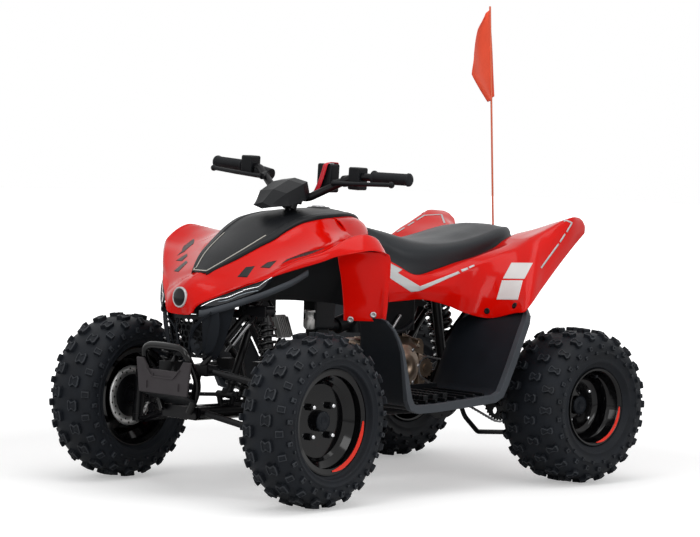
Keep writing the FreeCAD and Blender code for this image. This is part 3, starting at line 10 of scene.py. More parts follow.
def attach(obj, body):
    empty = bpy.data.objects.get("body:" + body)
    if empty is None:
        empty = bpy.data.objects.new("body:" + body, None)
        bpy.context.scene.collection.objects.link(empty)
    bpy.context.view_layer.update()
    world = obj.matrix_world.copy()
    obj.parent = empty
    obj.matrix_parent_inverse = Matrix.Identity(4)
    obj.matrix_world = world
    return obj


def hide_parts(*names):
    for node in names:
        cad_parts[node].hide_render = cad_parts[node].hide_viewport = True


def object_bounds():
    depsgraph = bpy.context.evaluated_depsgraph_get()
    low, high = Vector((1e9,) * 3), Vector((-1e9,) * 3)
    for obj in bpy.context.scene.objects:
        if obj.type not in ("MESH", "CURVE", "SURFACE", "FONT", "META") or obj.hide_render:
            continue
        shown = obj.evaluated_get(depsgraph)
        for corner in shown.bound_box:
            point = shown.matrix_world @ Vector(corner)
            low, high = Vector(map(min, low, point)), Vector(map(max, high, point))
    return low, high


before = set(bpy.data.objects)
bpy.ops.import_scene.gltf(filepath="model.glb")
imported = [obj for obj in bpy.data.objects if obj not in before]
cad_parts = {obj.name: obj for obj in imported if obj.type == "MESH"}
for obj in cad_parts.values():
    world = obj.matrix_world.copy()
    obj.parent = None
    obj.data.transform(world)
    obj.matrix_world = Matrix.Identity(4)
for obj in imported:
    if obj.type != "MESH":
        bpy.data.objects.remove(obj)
cad_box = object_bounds()

# Points in this script are written in millimetres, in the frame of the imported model.
MM = 0.001
SIDES = {"left": 1, "right": -1}

# The camera, as the photograph was taken, and its frame in pixels
CAMERA_SPOT = (5318.0, 5632.0, 973.0)
CAMERA_YAW = -133.24
CAMERA_PITCH = -2.75
CAMERA_ROLL = 1.54
CAMERA_LENS = 140.0
SENSOR_WIDTH = 36.0
FOCAL_PIXELS = 2722.6
FRAME_CENTRE = (350.0, 268.5)

# Wheels: the place of the hub, the tyre, and the rim with its plate
FRONT = SimpleNamespace(name="front", axle_x=515.0, wheel_y=395.0, tyre_r=231.0, half_width=79.0,
                        flange_r=140.0, seat_r=127.0, half_rim=60.0, plate=16.0)
REAR = SimpleNamespace(name="rear", axle_x=-515.0, wheel_y=380.0, tyre_r=222.5, half_width=105.0,
                       flange_r=111.0, seat_r=101.6, half_rim=90.0, plate=14.0)

# Steering, in the pose in which the machine is parked
KINGPIN_Y = 328.0
KINGPIN_CASTER = 4.0
COLUMN_FOOT = (455.0, 0.0, 292.0)
COLUMN_TILT = 22.0
PARKED_STEER_ANGLE = 6.66

# Walls and edges of the moulded panels
PANEL_WALL = 3.5
THIN_WALL = 3.0
TRAY_WALL = 4.0
PANEL_ROUND = 0.8


# Helpers for points and surfaces
def point(values):
    return Vector(values) * MM


def curve_through(spots, share, crease=0.0):
    """Point on a line through the spots; crease runs from 0, smooth, to 1, straight between them."""
    spans = len(spots) - 1
    place = min(max(share * spans, 0.0), spans - 1e-9)
    i = int(place)
    t = place - i
    b, c = Vector(spots[i]), Vector(spots[i + 1])
    a = Vector(spots[i - 1]) if i > 0 else b * 2 - c
    d = Vector(spots[i + 2]) if i + 2 <= spans else c * 2 - b
    smooth = 0.5 * (2 * b + (c - a) * t + (2 * a - 5 * b + 4 * c - d) * t * t
                    + (3 * b - a - 3 * c + d) * t * t * t)
    return smooth.lerp(b.lerp(c, t), crease)


def surface_grid(stations, rows, columns, crease=0.0):
    """Grid of points on a smooth surface through stations that each have as many spots."""
    lines = [[curve_through(s, j / columns, crease) for j in range(columns + 1)] for s in stations]
    grid = []
    for i in range(rows + 1):
        grid.append([curve_through([line[j] for line in lines], i / rows) for j in range(columns + 1)])
    return grid


def grid_faces(rows, columns, start=0):
    faces = []
    for i in range(rows):
        for j in range(columns):
            a = start + i * (columns + 1) + j
            faces.append((a, a + 1, a + columns + 2, a + columns + 1))
    return faces


def turn_about(base, axis, degrees):
    shift = Matrix.Translation(point(base))
    return shift @ Matrix.Rotation(math.radians(degrees), 4, Vector(axis)) @ shift.inverted()


# Helpers for pieces
def new_object(name, data, finish, body="chassis"):
    piece = bpy.data.objects.new(name, data)
    bpy.context.scene.collection.objects.link(piece)
    data.materials.append(finishes[finish])
    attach(piece, body)
    return piece


def mesh_from(name, spots, faces, smooth=True):
    mesh = bpy.data.meshes.new(name)
    mesh.from_pydata([point(s) for s in spots], [], faces)
    mesh.polygons.foreach_set("use_smooth", [smooth] * len(mesh.polygons))
    mesh.update()
    return mesh


def piece_from(work, name, finish, body="chassis", outward=True):
    """Piece from a bmesh, with its faces turned outward unless they are so by their order."""
    if outward:
        bmesh.ops.recalc_face_normals(work, faces=work.faces)
    mesh = bpy.data.meshes.new(name)
    work.to_mesh(mesh)
    work.free()
    return new_object(name, mesh, finish, body)


def built(name, build, finish):
    """Piece from a function that fills a bmesh with closed forms."""
    work = bmesh.new()
    build(work)
    return piece_from(work, name, finish, outward=False)


def add_modifier(piece, kind, **settings):
    modifier = piece.modifiers.new(kind.lower(), kind)
    for key, value in settings.items():
        setattr(modifier, key, value)


def mirror(piece, **settings):
    add_modifier(piece, "MIRROR", use_axis=(False, True, False), **settings)


def round_edges(piece, width, segments=2, **limit):
    add_modifier(piece, "BEVEL", width=width * MM, segments=segments, limit_method="ANGLE", **limit)


def panel(name, grids, finish, wall=PANEL_WALL, mirrored=True):
    """Moulded panel from grids of points, with a wall, rounded rims and its mirror image."""
    spots, faces = [], []
    for grid in grids:
        faces += grid_faces(len(grid) - 1, len(grid[0]) - 1, len(spots))
        spots += [tuple(p) for line in grid for p in line]
    piece = new_object(name, mesh_from(name, spots, faces), finish)
    if mirrored:
        mirror(piece, merge_threshold=0.0004)
    add_modifier(piece, "SOLIDIFY", thickness=wall * MM, offset=-1.0, use_even_offset=True)
    round_edges(piece, PANEL_ROUND, angle_limit=math.radians(50))
    return piece


def tube(name, spots, radius, finish, smooth_line=True, sides=12):
    """Round tube along a line through the spots."""
    curve = bpy.data.curves.new(name, "CURVE")
    curve.dimensions = "3D"
    curve.bevel_depth = radius * MM
    curve.bevel_resolution = sides // 4
    curve.use_fill_caps = True
    line = curve.splines.new("NURBS" if smooth_line else "POLY")
    line.points.add(len(spots) - 1)
    for node, spot in zip(line.points, spots):
        node.co = (*point(spot), 1.0)
    if smooth_line:
        line.order_u = 3
        line.use_endpoint_u = True
    return new_object(name, curve, finish)


def add_skin(work, rings, smooth=True, ends=True):
    """Faces between rings that each have as many points, and over the first and last ring."""
    count = len(rings[0])
    for near, far in zip(rings, rings[1:]):
        for k in range(count):
            face = work.faces.new((near[k], near[(k + 1) % count], far[(k + 1) % count], far[k]))
            face.smooth = smooth
    if ends:
        work.faces.new(rings[0][::-1])
        work.faces.new(rings[-1])


def add_turned(work, profile, place, steps, hollow=False):
    """Form turned about local Z from (radius, height) pairs: capped, or hollow from a closed profile."""
    turns = [2 * math.pi * k / steps for k in range(steps)]
    rings = []
    for r, h in profile:
        rings.append([work.verts.new(place @ point((r * math.cos(t), r * math.sin(t), h))) for t in turns])
    add_skin(work, rings + rings[:1] if hollow else rings, ends=not hollow)


def turned_piece(name, profile, place, finish, steps=40, body="chassis"):
    work = bmesh.new()
    add_turned(work, profile, place, steps)
    return piece_from(work, name, finish, body)


def add_hull(work, spots):
    """Closed convex form round some spots."""
    made = [work.verts.new(point(spot)) for spot in spots]
    bmesh.ops.convex_hull(work, input=made)


def placed(x, y, z):
    return Matrix.Translation(point((x, y, z)))


def along_y(x, y, z, way):
    """Matrix that lays a turned form's axis along Y at a spot."""
    return placed(x, y, z) @ Matrix.Rotation(math.radians(-90 * way), 4, "X")


# Helpers for the nodes of materials
GRAIN_DETAIL = 3.0
BROAD_SCALE = 14.0
BROAD_STOPS = (0.3, 0.7)


def range_of(tree, source, low, high, start=0.0, stop=1.0):
    """Value that runs from low to high as the source runs from start to stop."""
    made = tree.nodes.new("ShaderNodeMapRange")
    for key, value in {"From Min": start, "From Max": stop, "To Min": low, "To Max": high}.items():
        made.inputs[key].default_value = value
    tree.links.new(source, made.inputs["Value"])
    return made.outputs["Result"]


def math_of(tree, operation, first, second):
    made = tree.nodes.new("ShaderNodeMath")
    made.operation = operation
    tree.links.new(first, made.inputs[0])
    tree.links.new(second, made.inputs[1])
    return made.outputs[0]


def noise_of(tree, place, scale, detail=2.0):
    made = tree.nodes.new("ShaderNodeTexNoise")
    made.inputs["Scale"].default_value = scale
    made.inputs["Detail"].default_value = detail
    tree.links.new(place, made.inputs["Vector"])
    return made.outputs["Fac"]


def finish_from(name, colour, roughness, metallic, specular, scale, strength, depth, rough_spread,
                colour_spread):
    """Finish with a fine grain, and a little variation of roughness and colour over the surface."""
    made = bpy.data.materials.new(name)
    made.use_nodes = True
    tree = made.node_tree
    shader = tree.nodes["Principled BSDF"]
    for key, value in {"Base Color": (*colour, 1.0), "Roughness": roughness, "Metallic": metallic,
                       "Specular IOR Level": specular}.items():
        shader.inputs[key].default_value = value
    place = tree.nodes.new("ShaderNodeTexCoord").outputs["Object"]
    bump = tree.nodes.new("ShaderNodeBump")
    bump.inputs["Strength"].default_value = strength
    bump.inputs["Distance"].default_value = depth * MM
    tree.links.new(noise_of(tree, place, scale, GRAIN_DETAIL), bump.inputs["Height"])
    tree.links.new(bump.outputs["Normal"], shader.inputs["Normal"])
    broad = noise_of(tree, place, BROAD_SCALE)
    if rough_spread:
        rough = range_of(tree, broad, roughness - rough_spread, roughness + rough_spread)
        tree.links.new(rough, shader.inputs["Roughness"])
    if colour_spread:
        ramp = tree.nodes.new("ShaderNodeValToRGB")
        for stop, where, way in zip(ramp.color_ramp.elements, BROAD_STOPS, (-1, 1)):
            stop.color = (*(min(c * (1 + way * colour_spread), 1.0) for c in colour), 1.0)
            stop.position = where
        tree.links.new(broad, ramp.inputs["Fac"])
        tree.links.new(ramp.outputs["Color"], shader.inputs["Base Color"])
    return made


# Finishes: base colour, roughness, metallic, specular level, the grain's scale, strength and depth in
# millimetres, and how far roughness and colour vary
FINISHES = {
    "red_gloss": ((0.70, 0.004, 0.001), 0.12, 0.0, 0.16, 160, 0.03, 0.2, 0.02, 0.03),
    "black_plastic": ((0.0045, 0.0052, 0.0065), 0.42, 0.0, 0.16, 900, 0.3, 0.4, 0.05, 0.0),
    "dark_plastic": ((0.006, 0.008, 0.0115), 0.5, 0.0, 0.16, 900, 0.4, 0.4, 0.06, 0.12),
    "grey_plastic": ((0.047, 0.053, 0.062), 0.55, 0.0, 0.25, 900, 0.4, 0.4, 0.06, 0.12),
    "plate_plastic": ((0.036, 0.031, 0.034), 0.6, 0.0, 0.3, 700, 0.5, 0.4, 0.06, 0.15),
    "gloss_black": ((0.002, 0.002, 0.0025), 0.1, 0.0, 0.3, 200, 0.04, 0.4, 0.03, 0.0),
    "satin_black": ((0.004, 0.004, 0.005), 0.32, 0.0, 0.2, 500, 0.15, 0.4, 0.08, 0.0),
    "vinyl": ((0.009, 0.0115, 0.0145), 0.42, 0.0, 0.28, 700, 0.5, 0.6, 0.06, 0.0),
    "tyre_rubber": ((0.006, 0.0078, 0.011), 0.6, 0.0, 0.2, 300, 0.35, 0.8, 0.1, 0.25),
    # A lighter grey for the edges of the lugs, a painted highlight
    "lug_edge_highlight": ((0.019, 0.022, 0.027), 0.55, 0.0, 0.3, 300, 0.3, 0.8, 0.1, 0.3),
    "rubber": ((0.005, 0.006, 0.008), 0.6, 0.0, 0.2, 500, 0.3, 0.4, 0.06, 0.0),
    "disc_steel": ((0.75, 0.75, 0.74), 0.38, 0.85, 0.5, 400, 0.2, 0.4, 0.08, 0.12),
    "guide_grey": ((0.16, 0.18, 0.20), 0.25, 0.6, 0.5, 300, 0.05, 0.4, 0.05, 0.0),
    "chrome": ((0.82, 0.83, 0.85), 0.12, 1.0, 0.5, 300, 0.05, 0.4, 0.04, 0.0),
    "steel": ((0.36, 0.36, 0.37), 0.34, 1.0, 0.5, 400, 0.2, 0.4, 0.1, 0.2),
    "cast_aluminium": ((0.42, 0.42, 0.41), 0.45, 0.9, 0.5, 500, 0.5, 0.8, 0.1, 0.2),
    "bronze_cast": ((0.26, 0.195, 0.145), 0.34, 0.9, 0.5, 400, 0.5, 0.8, 0.1, 0.25),
    "flag_cloth": ((0.80, 0.085, 0.035), 0.75, 0.0, 0.2, 1500, 0.5, 0.3, 0.0, 0.06),
    "pole_orange": ((0.72, 0.16, 0.08), 0.4, 0.0, 0.3, 300, 0.1, 0.4, 0.05, 0.0),
    "strap_red": ((0.62, 0.006, 0.02), 0.35, 0.0, 0.35, 300, 0.2, 0.4, 0.05, 0.0),
    "decal_red": ((0.82, 0.03, 0.012), 0.35, 0.0, 0.3, 300, 0.1, 0.4, 0.04, 0.0),
    "silver_decal": ((0.52, 0.53, 0.53), 0.34, 0.2, 0.5, 300, 0.05, 0.4, 0.04, 0.0),
    "stripe_beige": ((0.50, 0.48, 0.42), 0.4, 0.0, 0.5, 300, 0.05, 0.4, 0.04, 0.0),
    # Black for the printed decals, and also painted shade in the holes of the brake discs
    "black_decal": ((0.003, 0.003, 0.003), 0.3, 0.0, 0.25, 300, 0.05, 0.4, 0.04, 0.0),
    "label_white": ((0.74, 0.72, 0.71), 0.45, 0.0, 0.3, 300, 0.05, 0.4, 0.04, 0.0),
    "lens": ((0.012, 0.015, 0.02), 0.05, 0.0, 0.5, 200, 0.03, 0.4, 0.02, 0.0),
}
finishes = {name: finish_from(name, *row) for name, row in FINISHES.items()}
for name, socket in (("flag_cloth", "Sheen Weight"), ("lens", "Coat Weight")):
    finishes[name].node_tree.nodes["Principled BSDF"].inputs[socket].default_value = 0.2

# The CAD pieces are satin black, apart from these
NODE_FINISHES = {
    "front_left_rim": "gloss_black", "front_right_rim": "gloss_black", "intake": "black_plastic",
    "nose_grille": "black_plastic", "instrument_pod": "black_plastic", "left_controls": "black_plastic",
    "right_controls": "black_plastic", "engine": "bronze_cast", "drive_chain": "steel",
    "skid_plate": "cast_aluminium", "headlamps": "lens", "tail_panel": "red_gloss",
    "flag_pole": "pole_orange",
}
for name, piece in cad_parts.items():
    piece.data.materials.clear()
    piece.data.materials.append(finishes[NODE_FINISHES.get(name, "satin_black")])


# Front bodywork: lines from the black panel's edge, over the fender's ridge, to the lower edge
NOSE_LINES = [
    [(637, 0, 486), (640, 12, 486), (643, 24, 487), (646, 36, 488), (648, 44, 490), (648, 50, 493),
     (646, 55, 498)],
    [(643, 0, 510), (645, 14, 510), (646, 28, 510), (646, 42, 510), (646, 52, 511), (644, 60, 512),
     (641, 66, 514)],
    [(646, 0, 535), (646, 16, 535), (644, 32, 534), (641, 48, 532), (637, 60, 529), (633, 72, 526),
     (628, 84, 526)],
    [(637, 0, 559), (635, 22, 558), (630, 44, 553), (624, 66, 547), (618, 82, 543), (613, 96, 540),
     (609, 112, 540)],
    [(616, 0, 580), (612, 28, 577), (606, 56, 569), (600, 82, 561), (594, 104, 556), (589, 124, 554),
     (586, 146, 557)],
]
HOOD_LINES = [
    [(586, 0, 597), (582, 34, 592), (578, 66, 584), (575, 96, 577), (571, 124, 573), (567, 148, 572),
     (562, 177, 573)],
    [(560, 44, 611), (554, 80, 604), (548, 114, 598), (543, 148, 594), (540, 176, 592), (538, 196, 592),
     (533, 211, 588)],
    [(505, 80, 644), (500, 120, 634), (497, 160, 626), (498, 198, 621), (502, 228, 620), (507, 242, 619),
     (509, 243, 604)],
    [(460, 98, 670), (453, 146, 657), (451, 196, 647), (456, 241, 643), (464, 270, 645), (472, 284, 645),
     (470, 290, 625)],
    [(417, 115, 693), (409, 166, 676), (407, 226, 664), (414, 275, 660), (425, 308, 663), (433, 326, 664),
     (437, 330, 642)],
    [(385, 121, 713), (376, 176, 690), (376, 236, 675), (386, 290, 673), (400, 326, 678), (411, 343, 678),
     (410, 357, 657)],
    [(340, 127, 734), (330, 183, 706), (332, 246, 689), (346, 306, 690), (362, 341, 699), (372, 354, 699),
     (376, 380, 667)],
    [(300, 129, 744), (290, 186, 712), (292, 250, 697), (308, 316, 700), (324, 349, 710), (335, 361, 711),
     (345, 391, 673)],
    [(262, 130, 750), (254, 187, 714), (256, 250, 699), (272, 316, 702), (290, 353, 711), (302, 366, 711),
     (310, 393, 675)],
    [(232, 128, 753), (226, 184, 714), (228, 246, 696), (240, 306, 697), (254, 346, 702), (264, 364, 700),
     (272, 391, 669)],
    [(206, 125, 754), (204, 182, 712), (206, 240, 690), (214, 296, 682), (226, 336, 681), (236, 357, 679),
     (242, 382, 655)],
]
TANK_LINES = [
    [(210, 125, 754), (208, 152, 742), (206, 173, 722), (205, 184, 700), (204, 188, 680)],
    [(160, 117, 756), (160, 143, 745), (160, 160, 725), (160, 167, 700), (160, 167, 676)],
    [(110, 98, 754), (110, 125, 743), (110, 141, 721), (110, 146, 697), (110, 143, 672)],
    [(62, 66, 743), (64, 98, 733), (68, 117, 713), (72, 123, 690), (76, 120, 668)],
    [(20, 28, 727), (26, 60, 718), (34, 82, 702), (44, 90, 684), (52, 90, 666)],
]
LEG_LINES = [
    [(300, 276, 480), (286, 298, 480), (264, 326, 480), (242, 352, 481), (238, 364, 484), (228, 366, 486)],
    [(304, 278, 520), (288, 300, 520), (265, 328, 520), (242, 355, 520), (238, 367, 520), (226, 369, 520)],
    [(313, 282, 560), (296, 304, 560), (271, 332, 560), (246, 359, 560), (239, 371, 560), (227, 373, 560)],
    [(326, 288, 600), (307, 310, 600), (281, 337, 600), (253, 364, 600), (240, 375, 600), (227, 377, 600)],
    [(341, 294, 636), (322, 317, 638), (295, 343, 640), (265, 368, 642), (243, 379, 642), (229, 380, 640)],
    [(352, 300, 662), (338, 326, 665), (312, 352, 667), (282, 374, 668), (254, 384, 666), (236, 382, 660)],
]
LIP = (-9, -13, 3)


def with_lip(line):
    """The line with a short flange turned inwards at its lower edge."""
    return line + [tuple(value + step for value, step in zip(line[-1], LIP))]


front_body = panel("front_fenders", [
    surface_grid([with_lip(line) for line in NOSE_LINES + HOOD_LINES], 90, 42),
    surface_grid(TANK_LINES, 24, 16),
    surface_grid(LEG_LINES, 24, 20),
], "red_gloss")
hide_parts("front_bodywork")

# Hood panel: its edge, and its crest on the centre plane as (x, z)
PANEL_EDGE = [(580, 28, 597), (545, 56, 621), (505, 81, 647), (460, 99, 673), (417, 116, 696),
              (385, 122, 716), (340, 128, 737), (300, 130, 747), (262, 131, 753), (210, 126, 757),
              (160, 118, 759), (110, 99, 757), (62, 67, 746), (20, 30, 731)]
PANEL_TOP = [(581, 599), (545, 625), (505, 654), (460, 683), (417, 709), (385, 728), (340, 750),
             (300, 761), (262, 768), (210, 772), (160, 773), (110, 770), (62, 756), (20, 736)]
# Where its section has spots, as shares of its half width, and the step down inside its raised frame
PANEL_SHARES = (1.0, 0.93, 0.84, 0.80, 0.6, 0.35, 0.15, 0.0)
PANEL_FRAME_SHARE = 0.82
PANEL_FRAME_STEP = 2.2


def panel_line(edge, top):
    """Section of the hood panel from its edge to the centre: a frame, a step and a crown."""
    x, half, low = edge
    crest_x, crest = top
    line = [(x, half * 0.985, low - 20), (x, half * 0.993, low - 8)]
    for share in PANEL_SHARES:
        rise = (crest - low) * (1 - share ** 2)
        step = 0.0 if share > PANEL_FRAME_SHARE else PANEL_FRAME_STEP
        line.append((x + (crest_x - x) * (1 - share), half * share, low + rise - step))
    return line


panel_lines = [panel_line(edge, top) for edge, top in zip(PANEL_EDGE, PANEL_TOP)]
hood = panel("hood_cover", [surface_grid(panel_lines, 70, 28)], "black_plastic")
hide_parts("hood_panel")

# Rear bodywork: lines from the seat's edge, over the fender, to the lower edge
REAR_LINES = [
    [(26, 104, 652), (24, 122, 628), (22, 142, 600), (20, 156, 566), (20, 160, 542), (20, 160, 516)],
    [(-40, 128, 618), (-42, 142, 604), (-44, 156, 586), (-44, 165, 564), (-44, 167, 542), (-44, 162, 519)],
    [(-100, 144, 590), (-102, 154, 588), (-104, 166, 576), (-104, 173, 560), (-104, 173, 542),
     (-104, 168, 521)],
    [(-180, 149, 606), (-182, 166, 600), (-184, 180, 588), (-184, 188, 562), (-184, 188, 536),
     (-184, 182, 505)],
    [(-250, 152, 624), (-254, 178, 624), (-256, 197, 606), (-256, 201, 566), (-252, 203, 528),
     (-246, 198, 482)],
    [(-330, 154, 642), (-332, 196, 652), (-328, 232, 642), (-314, 256, 598), (-294, 262, 536),
     (-280, 262, 470)],
    [(-400, 156, 664), (-400, 208, 674), (-388, 258, 668), (-356, 300, 622), (-317, 336, 566),
     (-283, 352, 490)],
    [(-446, 156, 688), (-444, 222, 696), (-430, 276, 698), (-390, 326, 646), (-338, 372, 574),
     (-285, 404, 504)],
    [(-500, 150, 705), (-500, 228, 716), (-488, 284, 722), (-452, 318, 676), (-418, 346, 616),
     (-386, 370, 562)],
    [(-556, 160, 714), (-556, 230, 736), (-544, 290, 746), (-520, 308, 714), (-502, 324, 668),
     (-486, 336, 620)],
    [(-600, 196, 712), (-598, 246, 746), (-584, 296, 759), (-580, 304, 738), (-578, 308, 706),
     (-574, 310, 672)],
    [(-636, 238, 734), (-636, 262, 750), (-630, 280, 757), (-642, 284, 748), (-650, 287, 732),
     (-648, 288, 712)],
]
rear_body = panel("rear_fenders", [surface_grid(REAR_LINES, 66, 30, 0.7)], "red_gloss")
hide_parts("rear_bodywork")

# Seat: each ring is x, then (y, z) at the base, the side and the top's edge, and the crest's z
SEAT_RINGS = [
    (30, 40, 690, 46, 712, 34, 729, 732),
    (10, 62, 668, 66, 700, 44, 722, 726),
    (-60, 122, 588, 112, 660, 66, 704, 711),
    (-120, 138, 576, 132, 650, 84, 688, 696),
    (-194, 145, 574, 141, 654, 96, 680, 688),
    (-280, 147, 594, 145, 666, 102, 684, 692),
    (-350, 148, 616, 145, 679, 104, 696, 705),
    (-420, 146, 644, 141, 695, 100, 712, 719),
    (-474, 138, 668, 131, 706, 92, 723, 730),
    (-516, 118, 690, 110, 712, 76, 723, 728),
    (-542, 88, 700, 80, 711, 56, 717, 720),
    (-556, 54, 706, 49, 710, 34, 713, 714),
]


def seat_line(ring):
    x, base_y, base_z, side_y, side_z, top_y, top_z, crest = ring
    half = [(x, base_y, base_z), (x, side_y + 3, (base_z + side_z) / 2), (x, side_y, side_z),
            (x, (side_y + top_y) / 2 + 4, (side_z + top_z) / 2 + 5), (x, top_y, top_z),
            (x, top_y * 0.5, crest - 1)]
    return half + [(x, 0, crest)] + [(x, -y, z) for x, y, z in half[::-1]]


def saddle_piece():
    work = bmesh.new()
    grid = surface_grid([seat_line(ring) for ring in SEAT_RINGS], 50, 48)
    add_skin(work, [[work.verts.new(point(spot)) for spot in line] for line in grid])
    for face in work.faces:
        face.smooth = True
    return piece_from(work, "saddle", "vinyl")


saddle = saddle_piece()
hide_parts("seat")


# Wheels
def wheel_place(word, wheel):
    """Matrix that puts a wheel-local form, whose outer face looks to +Y, at its hub."""
    side = SIDES[word]
    steer = Matrix.Identity(4)
    if wheel is FRONT:
        tilt = math.radians(KINGPIN_CASTER)
        kingpin = (-math.sin(tilt), 0.0, math.cos(tilt))
        steer = turn_about((wheel.axle_x, side * KINGPIN_Y, wheel.tyre_r), kingpin, PARKED_STEER_ANGLE)
    hub = placed(wheel.axle_x, side * wheel.wheel_y, wheel.tyre_r)
    return steer @ hub @ Matrix.Diagonal((1, side, 1, 1))


def wheel_piece(name, build, word, wheel, finish):
    """Piece of a wheel, from a function that fills a bmesh with wheel-local forms."""
    work = bmesh.new()
    build(work)
    work.transform(wheel_place(word, wheel))
    return piece_from(work, name, finish, f"front_{word}_wheel" if wheel is FRONT else "rear_axle")


def about_axle(x=0.0, z=0.0):
    """Matrix that turns a form about a line along the axle, with its heights measured outwards."""
    return placed(x, 0.0, z) @ Matrix(((1, 0, 0, 0), (0, 0, 1, 0), (0, 1, 0, 0), (0, 0, 0, 1)))


# Tyres: how far the shoulder lies below the lugs, and the bead's gap to the rim and inset from its edge
SHOULDER_DEPTH = 58
BEAD_GAP = 0.3
BEAD_INSET = 6.3


def tread_profile(wheel):
    """Carcass line across the tread and shoulders, as (y, radius) pairs, outwards from the middle."""
    half, radius = wheel.half_width, wheel.tyre_r
    return [(0, radius - 10), (half * 0.45, radius - 12), (half * 0.78, radius - 20),
            (half * 0.97, radius - 38), (half, radius - SHOULDER_DEPTH)]


def across(profile, distance):
    """Place and outward normal on the carcass at a distance from the middle, across the tread."""
    side = 1 if distance >= 0 else -1
    left = abs(distance)
    for (y0, r0), (y1, r1) in zip(profile, profile[1:]):
        step = math.hypot(y1 - y0, r1 - r0)
        if left <= step or (y1, r1) == profile[-1]:
            share = left / step
            normal = (-(r1 - r0) / step, (y1 - y0) / step)
            return side * (y0 + (y1 - y0) * share), r0 + (r1 - r0) * share, side * normal[0], normal[1]
        left -= step


def add_lug(work, profile, outline, angle, height, dent):
    """One block of the tread: an outline in (along, across) millimetres, raised, with a dent in its top, and
    the edge of its top in a lighter grey, a painted highlight.
    """
    reach = profile[0][1]
    centre = [sum(p[i] for p in outline) / len(outline) for i in range(2)]
    levels = [(-3.0, 0.0), (height - 1.2, 1.6), (height, 2.8), (height, 5.8), (height - dent, 6.8)]
    rings = []
    for level, shrink in levels:
        ring = []
        for along, wide in outline:
            off = Vector((along - centre[0], wide - centre[1]))
            off = off * max(0.2, 1 - shrink / max(off.length, 1e-6))
            y, r, ny, nr = across(profile, centre[1] + off.y)
            turn = angle + (centre[0] + off.x) / reach
            out = r + nr * level
            ring.append(work.verts.new(point((out * math.sin(turn), y + ny * level, out * math.cos(turn)))))
        rings.append(ring)
    count = len(outline)
    for level, (low, high) in enumerate(zip(rings, rings[1:])):
        for i in range(count):
            face = work.faces.new((low[i], low[(i + 1) % count], high[(i + 1) % count], high[i]))
            # The bevel and the outer band of the top take the second, lighter finish: a painted highlight on
            # the lug's edges
            face.material_index = 1 if level in (1, 2) else 0
    work.faces.new(rings[-1])


def bone(l, w, waist, middle):
    """Dog-bone outline across the tread, from half its length, width and waist, and its middle."""
    outline = [(-w, -l * 0.72), (-w * 0.6, -l), (w * 0.6, -l), (w, -l * 0.72), (waist, 0), (w, l * 0.72),
               (w * 0.6, l), (-w * 0.6, l), (-w, l * 0.72), (-waist, 0)]
    return [(along, wide + middle) for along, wide in outline]


def block(half_along, near, far):
    """Four-sided block between two distances across the tread."""
    return [(-half_along, near), (half_along, near), (half_along, far), (-half_along, far)]


# Rows of lugs from the middle outwards: how many go round, then each row's shift in pitches and outline
LUG_ROWS = {
    "front": (21, [(0.0, bone(16, 17, 11, 30)), (0.5, block(10, 58, 76)), (0.0, block(8, 84, 98)),
                   (0.5, block(6, 100, 106))]),
    "rear": (22, [(0.0, bone(20, 13, 7, 34)), (0.5, bone(17, 12, 7, 84)), (0.0, block(8, 112, 126)),
                  (0.5, block(6, 132, 142))]),
}
# Height of each row's lugs, and of the dent in them
LUG_FORMS = [(11.0, 2.0), (11.0, 2.0), (8.0, 1.2), (5.0, 1.2)]


def tyre_outline(wheel, profile):
    """Closed section of the carcass as (radius, y) pairs: tread, ribbed side walls and beads."""
    half, flange = wheel.half_width, wheel.flange_r
    bead_r, bead = wheel.seat_r + BEAD_GAP, wheel.half_rim - BEAD_INSET
    low = wheel.tyre_r - SHOULDER_DEPTH
    middle = flange + (low - flange) * 0.42
    right = [(r, y) for y, r in profile]
    right += [(low - 3, half), (low - 4.5, half + 1.8), (low - 7.5, half + 1.8), (low - 9, half * 0.995),
              (middle + 2, half * 0.965), (middle, half * 0.965 + 1.2), (middle - 3, half * 0.955 + 1.2),
              (middle - 5, half * 0.945), (flange + 9, bead + 9), (flange + 6, bead + 6.5),
              (flange + 4, bead + 6.5), (flange + 1.2, bead + 2), (bead_r, bead)]
    return right + [(r, -y) for r, y in right[::-1]][:-1]


def tyre(word, wheel):
    profile = tread_profile(wheel)
    count, rows = LUG_ROWS[wheel.name]

    def build(work):
        add_turned(work, tyre_outline(wheel, profile), about_axle(), 96, hollow=True)
        for k in range(count):
            for (phase, outline), (height, dent) in zip(rows, LUG_FORMS):
                for way in (-1, 1):
                    shift = phase + (0.5 if way < 0 else 0.0)
                    lug = [(along, way * wide) for along, wide in outline][::way]
                    add_lug(work, profile, lug, (k + shift) * 2 * math.pi / count, height, dent)

    piece = wheel_piece(f"knobbly_{wheel.name}_{word}", build, word, wheel, "tyre_rubber")
    # Second slot: a lighter grey for the edges of the lugs, a painted highlight
    piece.data.materials.append(finishes["lug_edge_highlight"])
    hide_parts(f"{wheel.name}_{word}_tyre")


for word in SIDES:
    tyre(word, FRONT)
    tyre(word, REAR)


# Marks on a surface, placed by pixels of the 700 x 537 photograph and lying on the piece that carries them
DECAL_LIFT = 0.5
DECAL_STEP = 1.3
STRIPE_LIFT = 0.6
STRIPE_STEP = 1.5


def camera_axes():
    """Directions to the right, up and ahead, as the camera sees them."""
    yaw, pitch, roll = (math.radians(a) for a in (CAMERA_YAW, CAMERA_PITCH, CAMERA_ROLL))
    ahead = Vector((math.cos(yaw) * math.cos(pitch), math.sin(yaw) * math.cos(pitch), math.sin(pitch)))
    right = ahead.cross(Vector((0, 0, 1))).normalized()
    up = right.cross(ahead)
    c, s = math.cos(roll), math.sin(roll)
    return right * c + up * s, up * c - right * s, ahead


CAMERA_RIGHT, CAMERA_UP, CAMERA_AHEAD = camera_axes()


def skin_of(piece):
    return BVHTree.FromObject(piece, bpy.context.evaluated_depsgraph_get())


